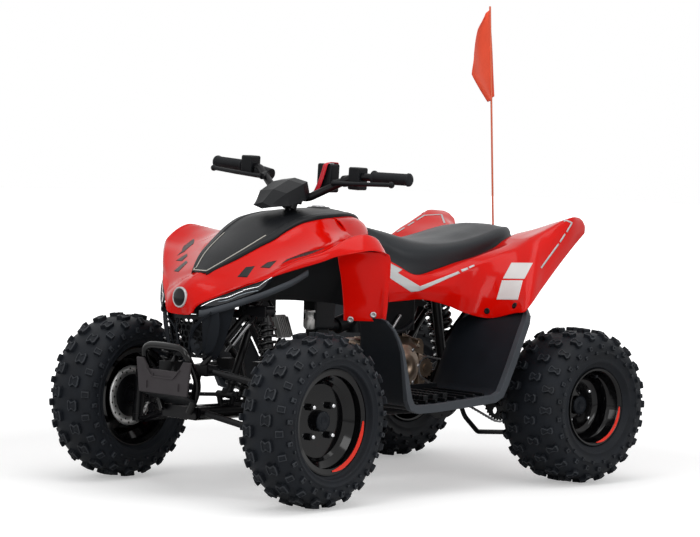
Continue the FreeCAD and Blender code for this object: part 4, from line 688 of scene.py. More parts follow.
def on_skin(skin, u, v):
    """Where the sight line of a pixel meets a surface, with the normal there, or None."""
    way = (CAMERA_AHEAD * FOCAL_PIXELS + CAMERA_RIGHT * (u - FRAME_CENTRE[0])
           + CAMERA_UP * (FRAME_CENTRE[1] - v))
    spot, normal, _, _ = skin.ray_cast(point(CAMERA_SPOT), way.normalized())
    if spot is None:
        return None
    return spot, (-normal if normal.dot(way) > 0 else normal)


def finish_mark(name, mesh, finish, lift, mirrored):
    piece = new_object(name, mesh, finish)
    if mirrored:
        mirror(piece, use_mirror_merge=False)
    add_modifier(piece, "SOLIDIFY", thickness=lift * MM, offset=-1.0)


def decal(name, outlines, skin, finish):
    """Thin film on a surface, inside outlines given in pixels, and on the other side too."""
    work = bmesh.new()
    for outline in outlines:
        work.faces.new([work.verts.new((u, v, 0.0)) for u, v in outline])
    for axis, way in enumerate((Vector((1, 0, 0)), Vector((0, 1, 0)))):
        marks = [spot[axis] for outline in outlines for spot in outline]
        low, high = min(marks), max(marks)
        steps = max(1, math.ceil((high - low) / DECAL_STEP))
        for k in range(1, steps):
            bmesh.ops.bisect_plane(work, geom=work.verts[:] + work.edges[:] + work.faces[:],
                                   plane_co=way * (low + (high - low) * k / steps), plane_no=way)
    missed = []
    for vert in work.verts:
        hit = on_skin(skin, vert.co.x, vert.co.y)
        if hit is None:
            missed.append(vert)
        else:
            vert.co = hit[0] + hit[1] * DECAL_LIFT * MM
    bmesh.ops.delete(work, geom=missed, context="VERTS")
    work.normal_update()
    for face in work.faces:
        face.smooth = True
        if face.normal.dot(face.calc_center_median() - point(CAMERA_SPOT)) > 0:
            face.normal_flip()
    mesh = bpy.data.meshes.new(name)
    work.to_mesh(mesh)
    work.free()
    finish_mark(name, mesh, finish, DECAL_LIFT, True)


def stripe(name, lines, width, skin, finish, mirrored=True):
    """Narrow strips of one width in millimetres along lines given in pixels."""
    spots, faces = [], []
    for line in lines:
        path = []
        for (u0, v0), (u1, v1) in zip(line, line[1:]):
            steps = max(1, math.ceil(math.hypot(u1 - u0, v1 - v0) / STRIPE_STEP))
            path += [(u0 + (u1 - u0) * k / steps, v0 + (v1 - v0) * k / steps) for k in range(steps)]
        path.append(line[-1])
        hits = [hit for hit in (on_skin(skin, u, v) for u, v in path) if hit]
        faces += grid_faces(len(hits) - 1, 1, len(spots))
        for i, (spot, normal) in enumerate(hits):
            along = hits[min(i + 1, len(hits) - 1)][0] - hits[max(i - 1, 0)][0]
            side = along.cross(normal).normalized() * width / 2 * MM
            middle = spot + normal * STRIPE_LIFT * MM
            spots += [tuple((middle + side) / MM), tuple((middle - side) / MM)]
    finish_mark(name, mesh_from(name, spots, faces), finish, STRIPE_LIFT, mirrored)


front_skin = skin_of(front_body)
hood_skin = skin_of(hood)
rear_skin = skin_of(rear_body)

HOOD_PINSTRIPE = [[(199.5, 270.4), (206.6, 270.9), (225, 260.2), (245, 248.2), (266, 235.3)]]
FENDER_SLASHES = [
    [(237.3, 277.0), (245.8, 267.3), (254.8, 266.1), (247.0, 277.4)],
    [(260.3, 267.5), (267.6, 262.4), (276.7, 260.6), (269.5, 268.2)],
    [(281.5, 263.8), (287.0, 259.4), (306.4, 252.1), (324.5, 248.2), (307.6, 255.2), (290.6, 259.6)],
]
SIDE_CHEVRON = [
    [(387.1, 261.7), (402.5, 269.5), (397.9, 273.0), (420.0, 286.3), (420.3, 290.9), (411.2, 292.2),
     (387.4, 276.5)],
    [(420.0, 286.3), (458.2, 271.3), (460.3, 273.2), (420.3, 290.9)],
    [(460.7, 269.7), (467.3, 267.3), (468.7, 269.2), (462.1, 271.8)],
    [(468.6, 266.8), (473.9, 264.6), (474.8, 266.0), (469.6, 268.4)],
]
SIDE_LABELS = [
    [(511.5, 262.7), (532.9, 262.9), (524.4, 279.0), (502.8, 278.6)],
    [(502.0, 280.3), (522.8, 280.4), (517.9, 299.9), (496.4, 299.6)],
]
FENDER_OUTLINE = [
    [(563.5, 221.2), (566.3, 220.6), (572.0, 222.8), (566.6, 232.0)],
    [(565.0, 234.0), (560.0, 242.0)],
    [(558.5, 244.0), (541.0, 268.0)],
]
FAR_FENDER_OUTLINE = [
    [(397.0, 232.3), (404.5, 227.9)],
    [(408.0, 225.8), (414.0, 222.0)],
    [(416.5, 220.4), (424.5, 215.4), (441.4, 214.7), (444.6, 223.5)],
]
stripe("hood_pinstripe", HOOD_PINSTRIPE, 4.0, hood_skin, "stripe_beige")
decal("fender_slashes", FENDER_SLASHES, front_skin, "black_decal")
decal("side_chevron", SIDE_CHEVRON, rear_skin, "silver_decal")
decal("side_labels", SIDE_LABELS, rear_skin, "label_white")
stripe("fender_outline", FENDER_OUTLINE, 5.0, rear_skin, "silver_decal")
stripe("far_fender_outline", FAR_FENDER_OUTLINE, 6.0, rear_skin, "silver_decal", mirrored=False)


# Badge and clips
def stood(spot, normal):
    """Matrix that stands a form made about local Z on a surface."""
    return Matrix.Translation(spot) @ normal.to_track_quat("Z", "Y").to_matrix().to_4x4()


BADGE_PIXEL = (179.9, 297.1)
badge_place = stood(*on_skin(front_skin, *BADGE_PIXEL))
BADGE_DISC = [(25, -3), (25, 2.4), (22, 3.6), (12, 4.4), (2, 4.6)]
BADGE_RING = [(23.5, -3), (28, -3), (28, 2.2), (26.6, 3.8), (24.4, 3.8), (23.5, 2.2)]
turned_piece("badge_disc", BADGE_DISC, badge_place, "gloss_black")
turned_piece("badge_ring", BADGE_RING, badge_place, "silver_decal")

CLIP = [(9, -2), (9, 1.2), (7.5, 2.4), (3.5, 2.6), (3, 1.4)]
CLIP_PIXELS = {"body_clip": [(487.0, 311.0), (514.5, 305.6)], "leg_clip": [(373.3, 315.0), (350.5, 319.5)]}
for name, skin, finish in (("body_clip", rear_skin, "black_plastic"), ("leg_clip", front_skin, "steel")):
    for k, pixel in enumerate(CLIP_PIXELS[name]):
        clip = turned_piece(f"{name}_{k}", CLIP, stood(*on_skin(skin, *pixel)), finish, 16)
        mirror(clip, use_mirror_merge=False)

# Foot wells: a tray with a front guard, a ribbed floor, a heel guard and a thick grey rim.
# Each spot is (x, z, y at the inner edge, y at the outer edge, height of the rim)
TRAY_SPOTS = [
    (250, 489, 300, 372, 3), (246, 482, 284, 392, 4), (228, 460, 268, 402, 5), (208, 431, 250, 402, 6),
    (192, 400, 232, 402, 8), (184, 372, 218, 402, 10), (177, 345, 206, 402, 12), (166, 301, 184, 402, 15),
    (158, 272, 172, 402, 18), (148, 255, 162, 402, 20), (130, 249, 158, 402, 20), (60, 250, 158, 402, 20),
    (-40, 256, 158, 402, 20), (-130, 262, 150, 402, 20), (-168, 265, 140, 402, 20),
    (-188, 274, 134, 402, 20), (-202, 298, 130, 402, 20), (-228, 350, 128, 402, 20),
    (-250, 398, 130, 402, 20), (-272, 446, 140, 402, 20), (-284, 470, 168, 402, 19),
    (-293, 490, 200, 398, 17), (-301, 507, 226, 384, 12), (-304, 513, 250, 366, 6),
]
TRAY_COLUMNS = 14


def tray_lines(side):
    lines = []
    for x, z, inner, outer, _ in TRAY_SPOTS:
        width = (outer - inner) / TRAY_COLUMNS
        lines.append([(x, side * (inner + width * k), z) for k in range(TRAY_COLUMNS + 1)])
    return lines[::side]


def rim_piece(name, side):
    """Thick outer edge of the tray, hanging below and behind the sheet."""
    work = bmesh.new()
    rings = []
    for i, (x, z, _, outer, drop) in enumerate(TRAY_SPOTS):
        near, far = TRAY_SPOTS[max(i - 1, 0)], TRAY_SPOTS[min(i + 1, len(TRAY_SPOTS) - 1)]
        along = Vector((far[0] - near[0], far[1] - near[1])).normalized()
        inner = outer - 2.0 - drop * 0.75
        corners = ((inner, 2.0), (outer + 1.5, 2.0), (outer + 1.5, -drop), (inner, -drop))
        rings.append([work.verts.new(point((x + along.y * level, side * y, z - along.x * level)))
                      for y, level in corners])
    add_skin(work, rings, smooth=False)
    piece = piece_from(work, name, "grey_plastic")
    round_edges(piece, 2.0, angle_limit=math.radians(40))
    return piece


# Floor of the tray, from its front to its rear end as (x, z), and its ribs, pegs and kerb
FLOOR_FRONT, FLOOR_REAR = (130, 249), (-168, 265)
RIB_COUNT, RIB_FRONT, RIB_STEP, RIB_SPAN = 8, 112, 37, (176, 378)
PEG_ROWS, PEG_COUNT, PEG_NEAR, PEG_STEP, PEG_WIDTH = (64, 26, -12), 9, 216, 17, 10
KERB_RUN, KERB_SPAN, KERB_LEVELS = (-176, 132), (158, 166), (258, 281)


def floor_level(x):
    share = (FLOOR_FRONT[0] - x) / (FLOOR_FRONT[0] - FLOOR_REAR[0])
    return FLOOR_FRONT[1] + (FLOOR_REAR[1] - FLOOR_FRONT[1]) * share


def add_box(work, low, high):
    corners = [work.verts.new(point((x, y, z))) for x in (low[0], high[0]) for y in (low[1], high[1])
               for z in (low[2], high[2])]
    for ring in ((0, 1, 3, 2), (4, 6, 7, 5), (0, 4, 5, 1), (2, 3, 7, 6), (0, 2, 6, 4), (1, 5, 7, 3)):
        work.faces.new([corners[k] for k in ring])


def tread_blocks(side):
    """Cross ribs, toothed pegs and a kerb on the floor of the tray."""
    def add_tread(work, x, half, span, height):
        near, far = sorted(side * y for y in span)
        add_box(work, (x - half, near, floor_level(x) - 3), (x + half, far, floor_level(x) + height))

    def build(work):
        for i in range(RIB_COUNT):
            add_tread(work, RIB_FRONT - RIB_STEP * i, 4, RIB_SPAN, 8)
        for x in PEG_ROWS:
            for k in range(PEG_COUNT):
                near = PEG_NEAR + PEG_STEP * k
                add_tread(work, x, 9, (near, near + PEG_WIDTH), 20)
        near, far = sorted(side * y for y in KERB_SPAN)
        add_box(work, (KERB_RUN[0], near, KERB_LEVELS[0]), (KERB_RUN[1], far, KERB_LEVELS[1]))
    return build


for word, side in SIDES.items():
    grid = surface_grid(tray_lines(side), 92, TRAY_COLUMNS, 0.3)
    tray = panel(f"foot_tray_{word}", [grid], "dark_plastic", TRAY_WALL, False)
    treads = built(f"foot_treads_{word}", tread_blocks(side), "black_plastic")
    round_edges(treads, 1.2, 1)
    rim = rim_piece(f"foot_rim_{word}", side)
    for piece in (tray, treads, rim):
        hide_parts(f"{word}_footwell")

# Bumper: a hoop, a notched plate with raised ribs, and the closing piece under it
PLATE_FACE = 700.0


def plate_piece(name, outline, low, high, bevel):
    """Flat piece across X from an outline in (y, z)."""
    work = bmesh.new()
    rings = [[work.verts.new(point((x, y, z))) for y, z in outline] for x in (low, high)]
    add_skin(work, rings, smooth=False)
    piece = piece_from(work, name, "plate_plastic")
    round_edges(piece, bevel)
    return piece


PLATE_OUTLINE = [(-114, 366), (-84, 366), (-62, 338), (62, 338), (84, 366), (114, 366), (100, 274),
                 (-100, 274)]
plate = plate_piece("bumper_plate", PLATE_OUTLINE, PLATE_FACE - 7, PLATE_FACE, 2.0)
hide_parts("front_bumper")
PLATE_RIBS = [(-72, 344, -44, 318), (-44, 318, 44, 318), (44, 318, 72, 344), (-66, 306, -66, 286),
              (66, 306, 66, 286), (-40, 328, -40, 316)]
PLATE_RIB_HALF = 2.2
for rib, (y0, z0, y1, z1) in enumerate(PLATE_RIBS):
    along = Vector((y1 - y0, z1 - z0)).normalized()
    off = Vector((-along.y, along.x)) * PLATE_RIB_HALF
    quad = [(y + way * off.x, z + way * off.y)
            for y, z, way in ((y0, z0, 1), (y1, z1, 1), (y1, z1, -1), (y0, z0, -1))]
    plate_piece(f"bumper_rib_{rib}", quad, PLATE_FACE - 2, PLATE_FACE + 3.5, 0.8)
HOOP_HALF = [(652, 56, 226), (648, 74, 262), (652, 92, 300), (668, 96, 336), (688, 92, 372), (693, 84, 392),
             (694, 66, 401), (694, 40, 403)]
HOOP = HOOP_HALF + [(x, -y, z) for x, y, z in HOOP_HALF[::-1]]
hoop = tube("bumper_hoop", HOOP, 10.0, "gloss_black", sides=16)
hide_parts("front_bumper")
belly = [[(694, y * 0.98, 276), (660, y * 0.9, 262), (636, y * 0.72, 246)] for y in range(100, -101, -40)]
panel("bumper_belly", [belly], "black_plastic", TRAY_WALL, False)

# Grille: ribs, a frame on each side, and the dark panels between the lamps and the grille
GRILLE_RIB = [(618, 36, 486), (628, 34, 450), (630, 27, 428), (627, 22, 396), (621, 20, 376)]
GRILLE_FRAME = [(622, 100, 500), (626, 78, 484), (627, 52, 466), (628, 32, 446), (625, 24, 420),
                (621, 30, 392), (612, 48, 374)]
FLANK = [
    [(634, 74, 506), (627, 70, 470), (620, 66, 430), (614, 60, 388), (606, 50, 366)],
    [(612, 92, 518), (610, 90, 480), (606, 84, 436), (602, 74, 390), (598, 60, 364)],
    [(580, 112, 532), (582, 108, 492), (584, 100, 444), (586, 88, 396), (588, 72, 366)],
    [(548, 128, 544), (556, 122, 504), (566, 112, 452), (574, 98, 402), (580, 82, 372)],
]
FAR_FLANK = [
    [(606, 112, 512), (604, 118, 482), (602, 116, 450), (602, 106, 418), (604, 92, 392)],
    [(612, 96, 508), (613, 92, 478), (613, 84, 444), (612, 76, 408), (610, 66, 380)],
]
GRILLE_FRAME_SECTION = [(3, 3, 3), (5, 0, 0), (1, 8, -4)]


def moved(line, side, dx, dy, dz):
    """A line on one side, moved ahead, outwards and up."""
    return [(x + dx, side * (y + dy), z + dz) for x, y, z in line]


def band(name, line, section, side, rows, columns, finish):
    """Bent strip along a line on one side, its section given as steps from the line."""
    edges = [moved(line, side, *step) for step in section]
    stations = [list(station) for station in zip(*edges)][::-side]
    panel(name, [surface_grid(stations, rows, columns)], finish, THIN_WALL, False)


for word, side in SIDES.items():
    tube(f"grille_rib_{word}", moved(GRILLE_RIB, side, 0, 0, 0), 3.4, "dark_plastic", False)
panel("grille_flanks", [surface_grid(FLANK, 18, 20)], "dark_plastic", THIN_WALL)
for word, side in SIDES.items():
    band(f"grille_frame_{word}", GRILLE_FRAME, GRILLE_FRAME_SECTION, side, 40, 4, "dark_plastic")
panel("grille_wings", [surface_grid(FAR_FLANK, 6, 16)], "dark_plastic", THIN_WALL)

# Headlamps: bright guides and a lip on the clear covers, and a bezel under each
LAMP_EDGE = [(632, 78, 518), (611, 105, 535), (588, 140, 550), (564, 170, 567), (535, 205, 583),
             (514, 230, 597)]
LAMP_GUIDE = [(636, 80, 512), (622, 94, 523), (606, 112, 533), (596, 130, 536), (586, 140, 541),
              (578, 150, 548), (566, 166, 556), (550, 184, 563), (538, 196, 566), (534, 204, 574),
              (526, 214, 584), (517, 226, 593)]
LAMP_BEZEL = [(640, 74, 499), (632, 84, 500), (614, 104, 508), (590, 138, 521), (564, 170, 536),
              (535, 204, 552), (505, 232, 570), (470, 256, 590), (430, 272, 616)]
BEZEL_SECTION = [(2, 2, 3), (4, 4, -5.2), (-2, -4, -13)]
for word, side in SIDES.items():
    tube(f"lamp_guide_{word}", moved(LAMP_GUIDE[:7], side, 3, 3, 2), 1.5, "chrome")
    tube(f"lamp_upper_guide_{word}", moved(LAMP_GUIDE[6:], side, 3, 3, 4), 1.5, "chrome")
    tube(f"lamp_lower_guide_{word}", moved(LAMP_GUIDE[2:9], side, 2, 2, -6), 2.2, "guide_grey")
    tube(f"lamp_lip_{word}", moved(LAMP_EDGE, side, 2, 1, 1), 1.6, "black_plastic")
    band(f"lamp_bezel_{word}", LAMP_BEZEL, BEZEL_SECTION, side, 60, 6, "grey_plastic")


# Springs of the dampers: where they start, their share of the damper's length, and the spots in a turn
COIL_START = 0.14
COIL_SHARE = 0.74
COIL_SPOTS = 12


def coil(name, foot, top, radius, wire, turns):
    """Wire round the line from foot to top, which leaves the ends of the damper bare."""
    foot, top = Vector(foot), Vector(top)
    along = (top - foot).normalized()
    side = along.orthogonal().normalized()
    other = along.cross(side)
    steps = turns * COIL_SPOTS
    spots = []
    for k in range(steps + 1):
        angle = 2 * math.pi * k / COIL_SPOTS
        share = COIL_START + COIL_SHARE * k / steps
        out = (side * math.cos(angle) + other * math.sin(angle)) * radius
        spots.append(tuple(foot + (top - foot) * share + out))
    tube(name, spots, wire, "gloss_black", sides=8)


for word, side in SIDES.items():
    coil(f"front_spring_{word}", (526, side * 240, 210), (492, side * 180, 502), 22.5, 4.2, 13)
coil("rear_spring", (-388, 0, 292), (-315, 0, 546), 34.5, 5.2, 9)


# Wheel trim: chrome nuts, dark caps, red arcs on the rims and valve stems
PITCH_R = 55.0
ARC_START = -92
ARC_SWEEP = -84
ARC_STEPS = 40


def add_arc(work, wheel):
    """Part of a flat ring, just proud of the rim's outer face, that narrows at its ends."""
    outer, inner = wheel.flange_r - 5.2, wheel.seat_r - 3.0
    level = wheel.half_rim + 0.3
    rings = []
    for k in range(ARC_STEPS + 1):
        turn = math.radians(ARC_START + ARC_SWEEP * k / ARC_STEPS)
        fade = min(1.0, 4.0 * k / ARC_STEPS + 0.25, 4.0 * (ARC_STEPS - k) / ARC_STEPS + 0.25)
        middle, spread = (outer + inner) / 2, (outer - inner) / 2 * fade
        corners = ((middle - spread, level - 1.2), (middle + spread, level + 1.2),
                   (middle + spread, level + 0.4), (middle - spread, level - 2.0))
        spots = [(r * math.sin(turn), y, r * math.cos(turn)) for r, y in corners]
        rings.append([work.verts.new(point(spot)) for spot in spots])
    add_skin(work, rings, smooth=False)


def wheel_trim(word, wheel):
    plate, half = wheel.plate, wheel.half_rim

    def nuts(work):
        for k in range(4):
            angle = math.radians(45 + 90 * k)
            profile = [(5.2, plate + 10), (6.6, plate + 12.5), (6.2, plate + 17), (3.6, plate + 19.5)]
            place = about_axle(PITCH_R * math.cos(angle), PITCH_R * math.sin(angle))
            add_turned(work, profile, place, 16)

    def arc(work):
        add_arc(work, wheel)

    def stem(work):
        profile = [(3.4, half - 20), (3.4, half - 6), (4.4, half - 5), (4.4, half + 1), (3.0, half + 2)]
        add_turned(work, profile, about_axle(0.0, wheel.seat_r - 14), 16)

    def cap(work):
        profile = [(27.5, 12), (27.5, 15), (25.0, 17.5), (12.0, 18.5), (11.0, 17.0), (3.0, 17.0)]
        add_turned(work, [(r, plate + y) for r, y in profile], about_axle(), 12)

    parts = {"nuts": (nuts, "chrome"), "arc": (arc, "decal_red"), "valve": (stem, "rubber"),
             "cap": (cap, "dark_plastic")}
    for part, (build, finish) in parts.items():
        wheel_piece(f"{wheel.name}_{part}_{word}", build, word, wheel, finish)


for word in SIDES:
    wheel_trim(word, FRONT)
    wheel_trim(word, REAR)


# Grips with ribs, which replace the plain ones
BAR_END = (180.0, 358.0, 878.0)
BAR_ELBOW = (196.0, 176.0, 874.0)
GRIP_RIBS = 22
GRIP_RIB_START = 8
GRIP_RIB_STEP = 4.6
column_axis = (-math.sin(math.radians(COLUMN_TILT)), 0.0, math.cos(math.radians(COLUMN_TILT)))
steered = turn_about(COLUMN_FOOT, column_axis, PARKED_STEER_ANGLE)


def grip(word, side):
    start, stop = (Vector((x, side * y, z)) for x, y, z in (BAR_END, BAR_ELBOW))
    profile = [(6, -5), (15, -5), (18, -2), (18.5, 2), (16, 5)]
    for k in range(GRIP_RIBS):
        base = GRIP_RIB_START + k * GRIP_RIB_STEP
        profile += [(15.2, base), (16.4, base + 1.1), (16.4, base + 3.1), (15.2, base + 4.2)]
    profile += [(16, 111), (20, 113), (20, 117), (16, 118), (11.6, 118)]
    place = steered @ stood(start * MM, (stop - start).normalized())
    piece = turned_piece(f"grip_{word}", profile, place, "rubber", 32, "steering")
    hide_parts("grips")


for word, side in SIDES.items():
    grip(word, side)

# Liners of the front arches, behind the lamps and under the fenders
LINER = [
    [(556, 150, 566), (552, 138, 545), (548, 122, 526), (546, 104, 512)],
    [(500, 205, 604), (498, 176, 572), (496, 150, 544), (496, 122, 522)],
    [(452, 244, 628), (450, 204, 590), (446, 168, 556), (442, 134, 528)],
    [(400, 276, 652), (396, 226, 606), (388, 184, 564), (380, 146, 528)],
    [(350, 292, 668), (340, 246, 618), (328, 204, 570), (316, 160, 524)],
    [(312, 296, 672), (296, 262, 622), (282, 230, 574), (268, 190, 520)],
    [(296, 290, 664), (280, 268, 614), (266, 250, 566), (250, 232, 514)],
]
panel("arch_liners", [surface_grid(LINER, 30, 18)], "black_plastic", THIN_WALL)


# Engine: turned side covers, with a ring of bolts on each
COVER_BOLT = [(5.5, -4), (5.5, 3.5), (4.2, 5), (1.5, 4.6)]
COVER_BOLTS = 7
COVER_BOLT_INSET = 7
FIRST_BOLT_TURN = 0.35


def cover(name, x, y, z, radius, way):
    profile = [(radius, -18), (radius, 3), (radius - 4, 7), (radius - 12, 8), (radius - 16, 14),
               (radius * 0.62, 17), (radius * 0.55, 23), (radius * 0.2, 25), (radius * 0.16, 22), (2, 22)]
    turned_piece(name, profile, along_y(x, y, z, way), "bronze_cast", 48)
    reach = way * (radius - COVER_BOLT_INSET)
    for k in range(COVER_BOLTS):
        angle = math.pi / 4 - way * (FIRST_BOLT_TURN + 2 * math.pi * k / COVER_BOLTS)
        place = along_y(x + reach * math.cos(angle), y + 6 * way, z + reach * math.sin(angle), way)
        turned_piece(f"{name}_bolt_{k}", COVER_BOLT, place, "steel", 12)


cover("engine_cover_left", -92, 104, 326, 66, 1)
cover("engine_cover_right", -60, -104, 320, 70, -1)


# Dark forms behind the grille and beside the frame, and a canister on each side
def core(work):
    """Dark forms that close the nose behind the grille."""
    add_hull(work, [(x, y, z) for x in (566, 590) for y in (-58, 58) for z in (380, 462)])
    add_hull(work, [(x, y, z) for x in (572, 592) for y in (-78, 78) for z in (486, 528)])


def side_boxes(work):
    for side in (-1, 1):
        add_hull(work, [(x, side * y, z) for x in (212, 286) for y in (96, 148) for z in (446, 536)])
        add_hull(work, [(x, side * y, z) for x in (224, 270) for y in (88, 140) for z in (404, 448)])


built("grille_core", core, "black_plastic")
round_edges(built("side_boxes", side_boxes, "black_plastic"), 6.0)
CANISTER_FOOT = (292, 132, 446)
CANISTER = [(13, 0), (15, 3), (15, 26), (12, 30), (12, 44), (16, 46), (16, 52), (2, 53)]
for word, side in SIDES.items():
    foot = moved([CANISTER_FOOT], side, 0, 0, 0)[0]
    turned_piece(f"side_canister_{word}", CANISTER, placed(*foot), "cast_aluminium", 24)


# Top of the crankcase, with its ribs, hose and struts
def engine_case(work):
    top = ((-196, 398), (-40, 404), (-20, 380), (-210, 372))
    rib = ((20, 400), (88, 386), (88, 396), (20, 414))
    add_hull(work, [(x, y, z) for x, z in top for y in (-40, 62)] + [(-150, 92, 384), (-60, 92, 388)])
    add_hull(work, [(-206, y, z) for y in (52, 84) for z in (270, 350)]
             + [(-168, y, z) for y in (52, 96) for z in (258, 362)])
    add_hull(work, [(x, 96, 392) for x in (-140, -70)] + [(x, 112, 378) for x in (-150, -80)]
             + [(x, 60, 408) for x in (-160, -60)])
    for x in range(-176, -55, 30):
        add_hull(work, [(x + dx, y, z) for dx in (-3, 3) for y, z in rib])


round_edges(built("engine_case_ribs", engine_case, "bronze_cast"), 4.0)
tube("engine_hose", [(-30, 70, 420), (-60, 96, 424), (-110, 100, 430), (-150, 84, 452)], 6.0, "rubber")
tube("engine_strut_one", [(-60, 70, 404), (-118, 66, 470)], 5.0, "steel", False)
tube("engine_strut_two", [(-10, 74, 430), (-14, 74, 486)], 9.0, "cast_aluminium", False)


# Finned regulator between the front damper and the leg, with its brackets, and the bright tube by the nose
FIN_COUNT = 7
FIN_STEP = 6.6


def fins(work):
    fin = ((300, 422), (303, 422), (322, 478), (325, 478))
    back = ((297, 418), (346, 418), (320, 482), (368, 482))
    for k in range(FIN_COUNT):
        add_hull(work, [(x + FIN_STEP * k, y, z) for x, z in fin for y in (60, 76)])
    add_hull(work, [(x, y, z) for x, z in back for y in (54, 63)])


built("regulator", fins, "cast_aluminium")
for name, radius, finish, spots in (
    ("regulator_strap", 4.5, "satin_black", [(356, 60, 488), (366, 44, 520), (372, 28, 548)]),
    ("regulator_foot", 4.5, "satin_black", [(326, 60, 430), (330, 40, 398), (334, 26, 372)]),
    ("bright_tube", 8.5, "chrome", [(500, 52, 408), (500, 120, 470)]),
    ("bright_tube_rod", 4.5, "steel", [(500, 26, 384), (500, 60, 415)]),
    ("bright_tube_end", 5.0, "satin_black", [(500, 114, 464), (498, 150, 496)]),
):
    tube(name, spots, radius, finish, False)

# Tank cap with its key plate
CAP_PLACE = placed(150, 0, 765)
turned_piece("tank_cap", [(46, -12), (46, 3), (42, 7), (34, 8), (30, 12), (10, 13), (2, 13)], CAP_PLACE,
             "satin_black", 48)
turned_piece("tank_key_plate", [(20, 4), (20, 14), (17, 16), (2, 16)], CAP_PLACE, "steel", 24)

# Front brake discs, bright, with rows of holes drawn as dark caps, a painted shade in the holes
DISC_R = 84.0
DISC_LEVEL = -35.0
DISC_HALF = 2.6
DISC_BAND = 24
DISC_HOLES = 30
HOLE_R = 3.0
HOLE_INSETS = (16, 7)


def disc_ring(work):
    low, high = DISC_LEVEL - DISC_HALF, DISC_LEVEL + DISC_HALF
    outer, inner = DISC_R + 0.6, DISC_R - DISC_BAND
    section = [(outer, low), (outer, high), (inner, high), (inner, low)]
    add_turned(work, section, about_axle(), 72, hollow=True)


# Dark caps in place of the holes: painted shade where one would see through the disc
def disc_hole_shade(work):
    for k in range(DISC_HOLES):
        angle = 2 * math.pi * k / DISC_HOLES
        reach = DISC_R - HOLE_INSETS[k % 2]
        place = about_axle(reach * math.cos(angle), reach * math.sin(angle))
        add_turned(work, [(HOLE_R, DISC_LEVEL - 3.0), (HOLE_R, DISC_LEVEL + 3.0)], place, 8)


for word in SIDES:
    wheel_piece(f"front_disc_face_{word}", disc_ring, word, FRONT, "disc_steel")
    wheel_piece(f"front_disc_face_{word}_holes", disc_hole_shade, word, FRONT, "black_decal")

# Rear rims: a deep drum with a step and a dished centre, in place of the plain ones
DRUM = [
    (111, 90), (112, 92.5), (107, 92.5), (104, 89), (99.5, 84), (98.5, 58), (93, 54), (90, 50), (88, 24),
    (86, 16), (70, 12), (54, 10), (40, 14), (30, 16), (12, 16), (12, 12), (30, 12), (40, 10), (54, 6),
    (70, 8), (89, 12), (91, 24), (93, 48), (98, 52), (101, 58), (101.5, 84), (101.5, -84), (104, -89),
    (107, -92.5), (112, -92.5), (111, -90), (105, -84), (104, -60), (104, 60), (105, 84),
]


def drum(work):
    add_turned(work, DRUM, about_axle(), 96, hollow=True)


for word in SIDES:
    rim = wheel_piece(f"drum_rim_{word}", drum, word, REAR, "gloss_black")
    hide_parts(f"rear_{word}_rim")

# Lock strap: a ribbed ribbon over the reservoir and down its front face
STRAP_LINE = [(174, 92, 868), (174, 92, 888), (177, 92, 904), (188, 92, 906), (206, 91, 906), (219, 90, 901),
              (221, 86, 884), (222, 78, 858), (223, 68, 834), (225, 56, 814), (230, 40, 806), (236, 20, 803)]
STRAP_WIDTH = 17.0
STRAP_THICKNESS = 1.6
STRAP_LEAN = Vector((0.15, 1.0, 0.15))


def strap_piece():
    steps, columns = 40, 10
    spots = []
    for i in range(steps + 1):
        middle = curve_through(STRAP_LINE, i / steps)
        ahead = (curve_through(STRAP_LINE, min(1.0, (i + 1) / steps))
                 - curve_through(STRAP_LINE, max(0.0, (i - 1) / steps)))
        side = (STRAP_LEAN - ahead * STRAP_LEAN.dot(ahead) / ahead.length_squared).normalized()
        out = side.cross(ahead).normalized()
        out = out if out.x > 0 else -out
        for k in range(columns + 1):
            rib = 0.8 * abs(math.sin(math.pi * 2 * k / columns))
            spots.append(tuple(middle + side * STRAP_WIDTH * (k / columns - 0.5) + out * rib))
    mesh = mesh_from("lock_strap", spots, grid_faces(steps, columns))
    mesh.transform(steered)
    piece = new_object("lock_strap", mesh, "strap_red", "steering")
    add_modifier(piece, "SOLIDIFY", thickness=STRAP_THICKNESS * MM, offset=0.0)
    return piece


strap = strap_piece()
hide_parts("parking_strap")

# Safety flag: a pennant that hangs from the pole in soft folds
FLAG_NEAR = [(-618, -95, 1377), (-626, -95, 1310), (-634, -95, 1245), (-641, -95, 1175), (-648, -95, 1110)]
FLAG_FAR = [(-600, -95, 1354), (-569, -95, 1307), (-545, -95, 1232), (-536, -95, 1172), (-622, -95, 1092)]
FLAG_THICKNESS = 0.8


def flag_piece():
    rows, columns = 60, 30
    spots = []
    for i in range(rows + 1):
        down = i / rows
        near, far = curve_through(FLAG_NEAR, down, 0.6), curve_through(FLAG_FAR, down, 0.6)
        for k in range(columns + 1):
            out = k / columns
            spot = near.lerp(far, out)
            wave = 9.0 * math.sin(5.2 * out + 3.4 * down + 0.6) + 5.0 * math.sin(9.0 * down + 2.0 * out)
            spots.append((spot.x, spot.y + out * wave, spot.z))
    piece = new_object("pennant", mesh_from("pennant", spots, grid_faces(rows, columns)), "flag_cloth")
    add_modifier(piece, "SOLIDIFY", thickness=FLAG_THICKNESS * MM, offset=0.0)
    return piece


pennant = flag_piece()
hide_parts("safety_flag")

# Stage, light and camera
WHITE = (1.0, 1.0, 1.0, 1.0)
SOFT_LEVEL = 0.36
FLOOR_REACH = 30.0
FLOOR_FADE = (1.3, 3.2)
# Soft lamps: place, aim and size in metres, and power in watts
LAMPS = {
    "lamp_top": ((0.3, 0.6, 3.2), (0.0, 0.0, 0.4), (3.0, 2.0), 38),
    "lamp_front": ((3.2, 1.2, 1.8), (0.2, 0.0, 0.5), (1.2, 2.0), 22),
    "lamp_left": ((0.2, 3.4, 1.9), (0.0, 0.0, 0.5), (2.4, 0.9), 26),
}


